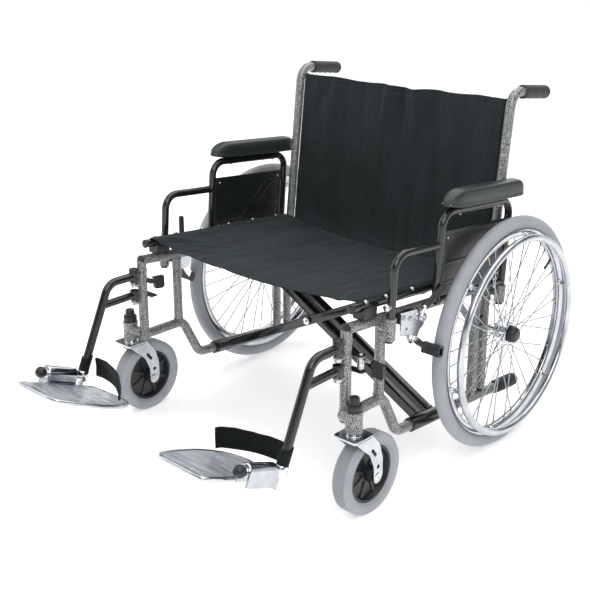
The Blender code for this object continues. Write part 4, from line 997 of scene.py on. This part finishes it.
# ---------------------------------------------------------------- rear wheels
def rear_wheel(n, s):
    body, at = "wheel_" + n, world(s * WHEEL_X, WHEEL_Y, WHEEL_R)
    t = Shape()
    outer, r = [], 0.0175
    for k in range(41):
        a = radians(-150 + 300 * k / 40)
        along, radius = r * sin(a), 0.2875 + r * cos(a)
        if abs(a) < radians(46):
            radius -= 0.00055 * (1 - cos(a * 26)) / 2
        outer.append((along, radius))
    outer += [(0.0085, 0.2685), (-0.0085, 0.2685)]
    t.lathe(at, X, outer, TYRE, 180, True)
    t.sided("rear_tyre_tread", n, body, "rear_tyre", "grey_tyre", 60)

    w = Shape()
    w.lathe(at, X, mm(-12.4, 271.2, -11.2, 271.6, -10, 270, 10, 270, 11.2, 271.6, 12.4, 271.2, 12.6, 269,
        11.8, 264.5, 9.8, 258.5, 7.2, 253, 6, 252, -6, 252, -7.2, 253, -9.8, 258.5, -11.8, 264.5, -12.6, 269),
        RIM, 180, True)
    w.lathe(at, X, mm(-23, 6.6, -23, 11, -18.5, 13, -18, 27.5, -17.2, 28.2, -15, 28.2, -14.2, 27.5,
        -12.8, 16.5, -9, 15, 9, 15, 12.8, 16.5, 14.2, 27.5, 15, 28.2, 17.2, 28.2, 18, 27.5, 18.2, 13,
        18.2, 6.6), CHROME, 72, True)
    w.sided("rim_and_hub", n, body, "rear_wheel", "chrome", 40)
    f = Shape()
    for k in range(SPOKES):
        angle = 2 * pi * (k + 0.5) / SPOKES
        flange = 0.016 if k % 2 else -0.016
        lean = angle + (1.0 if (k // 2) % 2 else -1.0)
        inner = at + Vector((flange, 0.0245 * cos(lean), 0.0245 * sin(lean)))
        rim = at + Vector((flange * 0.18, 0.256 * cos(angle), 0.256 * sin(angle)))
        f.tube([inner, inner.lerp(rim, 0.94)], 0.00145, SPOKE, 10)
        f.tube([inner.lerp(rim, 0.935), inner.lerp(rim, 0.99), rim + (rim - inner).normalized() * 0.001],
            [0.00185, 0.0021, 0.0024], BRASS, 10)
        f.lathe(inner, X, [(-0.0022, 0.0026), (0.0022, 0.0026)], SPOKE, 10)
    # tyre valve
    angle = 0.62
    d = Vector((0, cos(angle), sin(angle)))
    f.lathe(at, d, mm(220, 0, 220, 2.6, 221.5, 3, 227, 3, 227.5, 2.2, 252, 2.4, 253, 3.4, 254.5, 3.4), RUBBER,
        18)
    f.sided("spokes", n, body, None, "chrome", 50)

    h = Shape()
    ring_at = world(s * RIM_X, WHEEL_Y, WHEEL_R)
    h.lathe(ring_at, X, [(0.009 * cos(a), RIM_R + 0.009 * sin(a)) for a in turns(28)], RIM, 200, True)
    for turn in turns(STUDS):
        angle = turn + 0.3
        d = Vector((0, cos(angle), sin(angle)))
        out = ring_at + d * RIM_R
        foot = at + d * (RIM_R + 0.0015) + X * (s * 0.0128)
        h.tube([foot, foot.lerp(out, 0.25), foot.lerp(out, 0.7), out], [0.0072, 0.0046, 0.0044, 0.0058], RIM,
            20)
        h.lathe(foot, (s, 0, 0), mm(-3.5, 0, -3.5, 7, 1.2, 7.6, 3, 6.8, 3.4, 4.5), CHROME, 24)
    h.sided("hand_rim_ring", n, body, "hand_rim", "chrome", 60)

    c = Shape()
    c.lathe(world(0, WHEEL_Y, WHEEL_R), (s, 0, 0), mm(452, 10, 452, 20.8, 453.2, 21.6, 456, 21.6, 459, 21,
        464, 19.8, 467.2, 18.2, 470, 15, 471.6, 11, 471.2, 8.5, 472.2, 6, 472.5, 0), PLASTIC, 56)
    c.sided("hub_cap", n, body, "axle_cap", "plastic", 45)


# ---------------------------------------------------------------- footrests
DOWN = Vector((0, -sin(SLOPE), -cos(SLOPE)))


def hanger(n, s):
    x, body = s * HALF_W, "hanger_" + n

    def at_z(z):
        base = foot(s, HALF_W, 0, 0.055)
        return base + DOWN * ((z - base.z) / DOWN.z)

    f = Shape()
    f.tube(bent([world(x, PIN_Y, 0.413), at_z(0.413), foot(s, HALF_W, 0, 0.055)], 0.04, 12), 0.011, BLACK, 28)
    f.tube([world(x, PIN_Y, 0.361), at_z(0.358)], 0.01, BLACK, 24)
    for low, high in ((0.3965, 0.43), (0.3465, 0.374)):
        f.lathe(world(x, PIN_Y, low), Z, [(0, 0.0066), (0, 0.0115), (0.001, 0.0121),
            (high - low - 0.001, 0.0121), (high - low, 0.0115), (high - low, 0.0066)], BLACK, 32, True)
    plug(f, world(x, PIN_Y, 0.4298), Z, 0.012)
    f.tube([foot(s, HALF_W, 0, 0.062), foot(s, HALF_W, 0, -0.0195)], 0.008, CHROME, 24)
    # clamp ring where the extension leaves the tube, then its end plug
    base = foot(s, HALF_W, 0, 0.0545)
    f.lathe(base, DOWN, mm(-10, 11, -10, 12.6, -9, 13.1, -0.5, 13.1, 0.5, 12.4, 0.5, 8), PLASTIC, 32)
    f.lathe(foot(s, HALF_W, 0, 0), -LIFT, mm(19, 8.4, 19.6, 10, 23, 10, 24.5, 9, 25, 4, 25, 0), CHROME, 32)
    f.sided("hanger_tube", n, body, "footrest_hanger", "black_paint", 50)

    c = Shape()
    at = foot(s, HALF_W, 0, FLIP_C)
    c.lathe(foot(s, HALF_W, 0, 0), LIFT, [(FLIP_C - 0.013, 0.0086), (FLIP_C - 0.013, 0.0144),
        (FLIP_C - 0.012, 0.015), (FLIP_C + 0.012, 0.015), (FLIP_C + 0.013, 0.0144), (FLIP_C + 0.013, 0.0086)],
        CHROME, 44, True)
    c.lathe(at, FORWARD, mm(10, 0, 10, 12.5, 28.5, 12.5, 118, 12.5, 122.2, 12.2, 122.4, 7, 122.4, 0), CHROME,
        36)
    c.sided("footplate_barrel", n, body, "footplate_hinge", "chrome", 45)
    k = Shape()
    k.lathe(at, FORWARD, mm(121.6, 0, 121.6, 7, 123.2, 7.2, 124.4, 10, 126.5, 12.8, 129.5, 14.4, 132.5, 14.6,
        136, 13.7, 139.5, 11.7, 142.5, 9, 144.3, 5.5, 145, 2, 145.1, 0), PLASTIC, 44)
    k.sided("footplate_knob", n, body, None, "plastic", 60)


def footplate(n, s):
    body = "plate_" + n
    outline = mm(339, -28.5, 339, 195, 330, 209, 300, 211, 205, 208, 184, 200, 174, 180, 163, 145, 156, 100,
        152.5, 62, 158, 20, 172, -12, 192, -33, 224, -45, 256, -41.5, 300, -34.5)
    loop = round_loop(outline, 0.011)
    f = Shape()

    def inset(loop, amount):
        out = []
        for i in range(len(loop)):
            a, b, c = Vector(loop[i - 1]), Vector(loop[i]), Vector(loop[(i + 1) % len(loop)])
            t = (c - a).normalized()
            out.append((b.x - t.y * amount, b.y + t.x * amount))
        return out

    rim_loop = inset(loop, 0.0085)
    f.plate(rim_loop, lambda u, v, w: foot(s, u, v, w), -0.0088, -0.0016, PLATE)
    rings = []
    for a, c in ((0.0095, -0.0016), (0.0075, -0.0003), (0.0045, 0.0), (0.0016, -0.0006), (0.0, -0.0026),
            (0.0, -0.0076), (0.0014, -0.0096), (0.004, -0.01), (0.0095, -0.01)):
        rings.append([foot(s, u, v, c) for u, v in inset(loop, a)])
    f.rings(rings, CAST, closed=True)
    # ribs under the plate
    for v in (0.02, 0.085, 0.15):
        f.rings([[foot(s, u, v + p, -0.0094 + q) for p, q in rounded(0.0022, 0.0014, 0.0008, 2)]
            for u in (0.175, 0.328)], PLATE)
    # the tread: ribs from side to side
    v = -0.028
    while v < 0.2:
        cross = sorted(crossings([(b, a) for a, b in rim_loop], v))
        if len(cross) >= 2:
            lo, hi = cross[0] + 0.004, cross[-1] - 0.004
            rib = ((-0.0031, 0), (-0.0026, 0.0008), (0.0026, 0.0008), (0.0031, 0))
            f.rings([[foot(s, u, v + p, -0.0016 + q) for p, q in rib] for u in (lo, hi)], PLATE)
        v += TREAD_PITCH
    f.sided("footplate_deck", n, body, "footplate", "aluminium", 45)

    g = Shape()
    r = 0.0195
    arc = [(HALF_W + r * cos(radians(t)), FLIP_C + r * sin(radians(t))) for t in range(0, 181, 10)]
    inner = [(HALF_W + 0.0134 * cos(radians(t)), FLIP_C + 0.0134 * sin(radians(t)))
        for t in range(180, -1, -10)]
    section = [(HALF_W + r, -0.0105)] + arc + [(HALF_W - r, -0.0035), (HALF_W - 0.0134, -0.0035)]
    section += inner + [(HALF_W + 0.0134, -0.0105)]
    lo, hi = 0.0285, 0.118
    rings = []
    for v, grow in ((lo, -0.0022), (lo + 0.0018, -0.0004), (lo + 0.004, 0.0), (hi - 0.004, 0.0),
            (hi - 0.0018, -0.0004), (hi, -0.0022)):
        ring = []
        for i, (u, w) in enumerate(section):
            outer = i <= len(arc) + 1
            shift = grow if outer else 0.0
            d = Vector((u - HALF_W, w - FLIP_C))
            d.normalize()
            ring.append(foot(s, u + d.x * shift, v, w + d.y * shift))
        rings.append(ring)
    g.rings(rings, RIM)
    # the web that joins the saddle to the plate's edge; the two screws that hold it are not drawn
    g.rings([[foot(s, u, v, w) for u, w in ((HALF_W - 0.0165, 0.0105), (HALF_W - 0.0165, -0.009),
        (0.332, -0.009), (0.332, 0.0012), (0.3365, 0.003))] for v in (lo + 0.004, hi - 0.004)], RIM)
    g.sided("footplate_saddle", n, body, None, "chrome", 45)


def crossings(loop, u):
    out = []
    for (a, b), (c, d) in zip(loop, loop[1:] + loop[:1]):
        if (a - u) * (c - u) < 0:
            out.append(b + (d - b) * (u - a) / (c - a))
    return out


def heel_loop(n, s):
    """The heel strap: webbing folded round the hanger tube, curving in to a doubled end on the footplate."""
    path = mm(337, -321.5, 315, -319, 285, -321.5, 255, -329, 225, -340, 200, -352, 182, -364, 174.5, -374.5)
    fine = spline(path, 9)
    low, high = STRAP_LOW, STRAP_HIGH
    rings = []
    count = len(fine)
    for i, (x, y) in enumerate(fine):
        a, b = fine[max(0, i - 1)], fine[min(count - 1, i + 1)]
        length = sqrt((b[0] - a[0]) ** 2 + (b[1] - a[1]) ** 2)
        out = Vector((s * -(b[1] - a[1]) / length, (b[0] - a[0]) / length, 0))
        t = i / (count - 1)
        thick = 0.0013 if 0.1 < t < 0.88 else 0.002
        wave = 0.0009 * sin(t * 9 + s) + 0.0004 * sin(t * 31)
        column = []
        for k in range(15):
            z = low + (high + wave - low) * k / 14
            bow = 0.0009 * sin(t * 11 + k * 0.3) * sin(pi * t) + 0.0008 * cos(2 * pi * k / 14)
            column.append(world(s * x, y, z) + out * bow)
        ring = [p + out * thick for p in column] + [p - out * thick for p in reversed(column)]
        rings.append(ring)
    f = Shape()
    f.rings(rings, WEBBING)
    # the part round the hanger's tube, which leans with it
    wrap = []
    base = foot(s, HALF_W, 0, 0.055)
    for k in range(15):
        z = low + (high - low) * k / 14
        c = base + DOWN * ((z - base.z) / DOWN.z)
        wrap.append([c + Vector((0.0142 * cos(a), 0.0148 * sin(a), 0)) for a in turns(36)])
    f.rings(wrap, WEBBING)
    piece = f.sided("heel_strap", n, None, "heel_loop", "webbing", 70)
    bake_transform(piece)


def spline(points, steps):
    out = []
    n = len(points)
    for i in range(n - 1):
        p = [points[max(0, i - 1)], points[i], points[i + 1], points[min(n - 1, i + 2)]]
        for k in range(steps):
            t = k / steps
            out.append(tuple(0.5 * (2 * p[1][d] + (p[2][d] - p[0][d]) * t
                + (2 * p[0][d] - 5 * p[1][d] + 4 * p[2][d] - p[3][d]) * t * t
                + (3 * p[1][d] - p[0][d] - 3 * p[2][d] + p[3][d]) * t ** 3) for d in (0, 1)))
    return out + [points[-1]]


def latch(n, s, heading):
    ahead = Vector((cos(heading), sin(heading), 0))
    aside = Vector((-ahead.y, ahead.x, 0))
    pivot = world(s * LATCH_X, LATCH_Y, 0)

    def place(u, v, w):
        return pivot + ahead * u + aside * w + Vector((0, 0, v))

    f = Shape()
    f.lathe(pivot, Z, mm(356, 4.1, 356, 7.6, 357, 8.1, 385, 8.1, 386, 7.6, 386, 4.1), ZINC, 28, True)
    f.tube([place(0.004, 0.379, 0), place(0.046, 0.379, 0)], 0.0036, CHROME, 20)
    outline = round_loop(mm(31, 378, 36, 350, 62, 347, 67, 352, 66, 383, 31, 385), 0.004)
    f.plate(outline, place, -0.005, 0.005, PLASTIC)
    f.sided("latch_handle", n, "latch_" + n, "footrest_latch", "plastic", 40, 0.0009)


# ---------------------------------------------------------------- wheel locks
def turned(point, pivot, angle):
    u, v = point[0] - pivot[0], point[1] - pivot[1]
    return (pivot[0] + u * cos(angle) - v * sin(angle), pivot[1] + u * sin(angle) + v * cos(angle))


def brake(n, s, angle, shoe_angle):
    outline = mm(-4, 404, 22, 398, 32, 374, 58, 374, 66, 398, 86, 410, 86, 452, -4, 460)
    loop = round_loop(outline, 0.007)
    f = Shape()
    f.plate(loop, lambda u, v, w: world(s * w, u, v), 0.3975, 0.402, RIM,
        [hole(0.0755, 0.424, 0.004), hole(0.018, 0.416, 0.0036)])
    f.box((min(s * 0.3705, s * 0.3985), 0.01, 0.425), (max(s * 0.3705, s * 0.3985), 0.068, 0.446), DARK_STEEL)
    for y, z in ((0.008, 0.446), (0.032, 0.438)):
        f.nut(world(s * 0.4018, y, z), (s, 0, 0), 0.0068, 0.004)
    for (y, z), reach in ((BRAKE_PIVOT, 0.415), (SHOE_PIVOT, 0.4125)):
        f.lathe(world(0, y, z), (s, 0, 0), [(0.399, 0), (0.399, 0.0045), (reach - 0.002, 0.0045),
            (reach - 0.0016, 0.004), (reach, 0.004), (reach, 0)], ZINC, 24)
    f.sided("brake_plate", n, "frame_" + n, "brake_bracket", "chrome", 35, 0.0005)

    y, z = BRAKE_PIVOT

    def at(x, along, over):
        return world(s * x, y + along * cos(angle) - over * sin(angle),
            z + along * sin(angle) + over * cos(angle))

    h = Shape()
    axis = Vector((s, 0, 0))
    h.lathe(world(0, y, z), axis, mm(403, 5.2, 403, 10, 403.8, 10.6, 411.2, 10.6, 412, 10, 412, 5.2), CHROME,
        32, True)
    h.tube(bent([at(0.4075, 0.0, 0.004), at(0.408, 0.0, 0.016), at(BRAKE_X, 0.01, BRAKE_OFFSET),
        at(BRAKE_X, 0.03, BRAKE_OFFSET)], 0.006, 5), 0.0042, CHROME, 20)
    rings = mm(13, 0, 13, 6.2, 14.5, 7.3, 18, 7.4)
    for k in range(8):
        d = 0.022 + k * 0.0078
        rings += [(d, 0.0074), (d + 0.0008, 0.0069), (d + 0.0016, 0.0074)]
    rings += mm(86, 7.4, 90, 6.6, 91.6, 4.5, 92, 0)
    along = Vector((0, cos(angle), sin(angle)))
    h.lathe(at(BRAKE_X, 0, BRAKE_OFFSET), along, rings, RUBBER, 32)
    h.sided("brake_handle", n, "brake_" + n, "brake_lever", "black_paint", 50)

    heading = atan2(WHEEL_R - SHOE_AT[1], WHEEL_Y - SHOE_AT[0])

    def place(u, v, w):
        yz = (SHOE_AT[0] + u * cos(heading) - v * sin(heading),
            SHOE_AT[1] + u * sin(heading) + v * cos(heading))
        yz = turned(yz, SHOE_PIVOT, shoe_angle)
        return world(s * w, *yz)

    b = Shape()
    block = round_loop(mm(-8, -13, 9, -13, 11, -10, 11, 10, 9, 13, -8, 13), 0.003)
    inner = [(u * 0.62, v * 0.68) for u, v in block][::-1]
    b.plate(block, place, 0.4028, 0.42, PLASTIC)
    b.plate(block, place, 0.4195, 0.453, PLASTIC, [inner])
    end = turned(SHOE_AT, SHOE_PIVOT, shoe_angle)
    reach = atan2(end[1] - SHOE_PIVOT[1], end[0] - SHOE_PIVOT[0])
    base = world(s * 0.406, *SHOE_PIVOT)
    along, over = Vector((0, cos(reach), sin(reach))), Vector((0, -sin(reach), cos(reach)))
    arm = mm(-6, -5.5, -3.5, -7.5, 48, -7.5, 48, 7.5, -3.5, 7.5, -6, 5.5)
    b.plate(round_loop(arm, 0.003), lambda u, v, w: base + along * u + over * v + X * w, -0.0028, 0.0028,
        CHROME, [hole(0, 0, 0.0051)])
    b.sided("brake_block", n, "shoe_" + n, "brake_shoe", "plastic", 35, 0.0006)


# ---------------------------------------------------------------- assembly
for n, s in (("L", 1), ("R", -1)):
    side_frame(n, s)
    cane(n, s)
    armrest(n, s)
    pad(n, s)
    caster(n, s)
    rear_wheel(n, s)
    hanger(n, s)
    footplate(n, s)
    heel_loop(n, s)
    latch(n, s, 0.0 if s > 0 else pi / 2)
brake("L", 1, radians(22.6), 0.0)
brake("R", -1, radians(90), radians(-20))
brace()
seat()
rail_screws()
back()


# ---------------------------------------------------------------- stage, lights and camera
def paper():
    mat, shader, place, add, link = nodes_of("backdrop_white")
    link(ramp(add, link, texture(add, link, place, 1.5),
        [(0.3, (0.93, 0.93, 0.93)), (0.7, (0.96, 0.96, 0.96))]), shader.inputs["Base Color"])
    shader.inputs["Roughness"].default_value = 0.9
    shader.inputs["Specular IOR Level"].default_value = 0.1
    shader.inputs["Emission Color"].default_value = (1, 1, 1, 1)
    shader.inputs["Emission Strength"].default_value = 0.4
    mesh = bpy.data.meshes.new("floor")
    corners = [(u * FLOOR_REACH, v * FLOOR_REACH, 0) for u, v in ((-1, -1), (1, -1), (1, 1), (-1, 1))]
    mesh.from_pydata(corners, [], [(0, 1, 2, 3)])
    mesh.materials.append(mat)
    floor = bpy.data.objects.new("floor", mesh)
    bpy.context.scene.collection.objects.link(floor)


def area_light(name, at, target, size, power):
    data = bpy.data.lights.new(name, "AREA")
    data.energy, data.size = power, size
    lamp = bpy.data.objects.new(name, data)
    lamp.location = at
    lamp.rotation_euler = (Vector(target) - Vector(at)).to_track_quat("-Z", "Y").to_euler()
    bpy.context.scene.collection.objects.link(lamp)


def camera():
    az, el, roll = radians(43.0367), radians(18.047), radians(0.062)
    forward = Vector((-sin(az) * cos(el), cos(az) * cos(el), -sin(el)))
    right = forward.cross(Vector(Z)).normalized()
    up = right.cross(forward)
    rolled = right * cos(roll) + up * sin(roll), up * cos(roll) - right * sin(roll), -forward
    data = bpy.data.cameras.new("camera")
    data.sensor_width, data.lens = SENSOR, FOCAL_PIXELS / IMAGE_WIDTH * SENSOR
    data.shift_y = -0.06
    data.clip_end = 200
    cam = bpy.data.objects.new("camera", data)
    cam.matrix_world = Matrix.Translation((1.6918, -1.8099, 1.2886)) @ Matrix(rolled).transposed().to_4x4()
    bpy.context.scene.collection.objects.link(cam)
    bpy.context.scene.camera = cam


paper()
area_light("key", (2.6, -2.4, 3.4), (0, 0, 0.5), 2.6, 70)
area_light("fill", (-3.2, -1.8, 2.6), (0, 0, 0.5), 3.0, 34)
area_light("top", (0.0, 0.6, 4.2), (0, 0, 0.3), 4.0, 75)
area_light("back", (-1.2, 3.6, 2.6), (0, 0, 0.6), 3.0, 40)
world_data = bpy.data.worlds.new("studio")
world_data.use_nodes = True
tree = world_data.node_tree
ground = tree.nodes["Background"]
heading = tree.nodes.new("ShaderNodeTexCoord")
split = tree.nodes.new("ShaderNodeSeparateXYZ")
band = tree.nodes.new("ShaderNodeValToRGB")
tree.links.new(heading.outputs["Generated"], split.inputs[0])
tree.links.new(split.outputs["Z"], band.inputs["Fac"])
tree.links.new(band.outputs["Color"], ground.inputs["Color"])
levels = band.color_ramp.elements
for at, level in ((0.0, 0.97), (0.2, 0.97), (0.27, 0.16), (0.48, 0.12), (0.66, 0.8), (1.0, 1.0)):
    cell = levels.new(at) if at not in (0.0, 1.0) else levels[0 if at == 0.0 else -1]
    cell.color = (level, level, level, 1)
ground.inputs["Strength"].default_value = 1.0
bpy.context.scene.world = world_data
bpy.context.scene.view_settings.view_transform = "Standard"
camera()

bpy.context.view_layer.update()
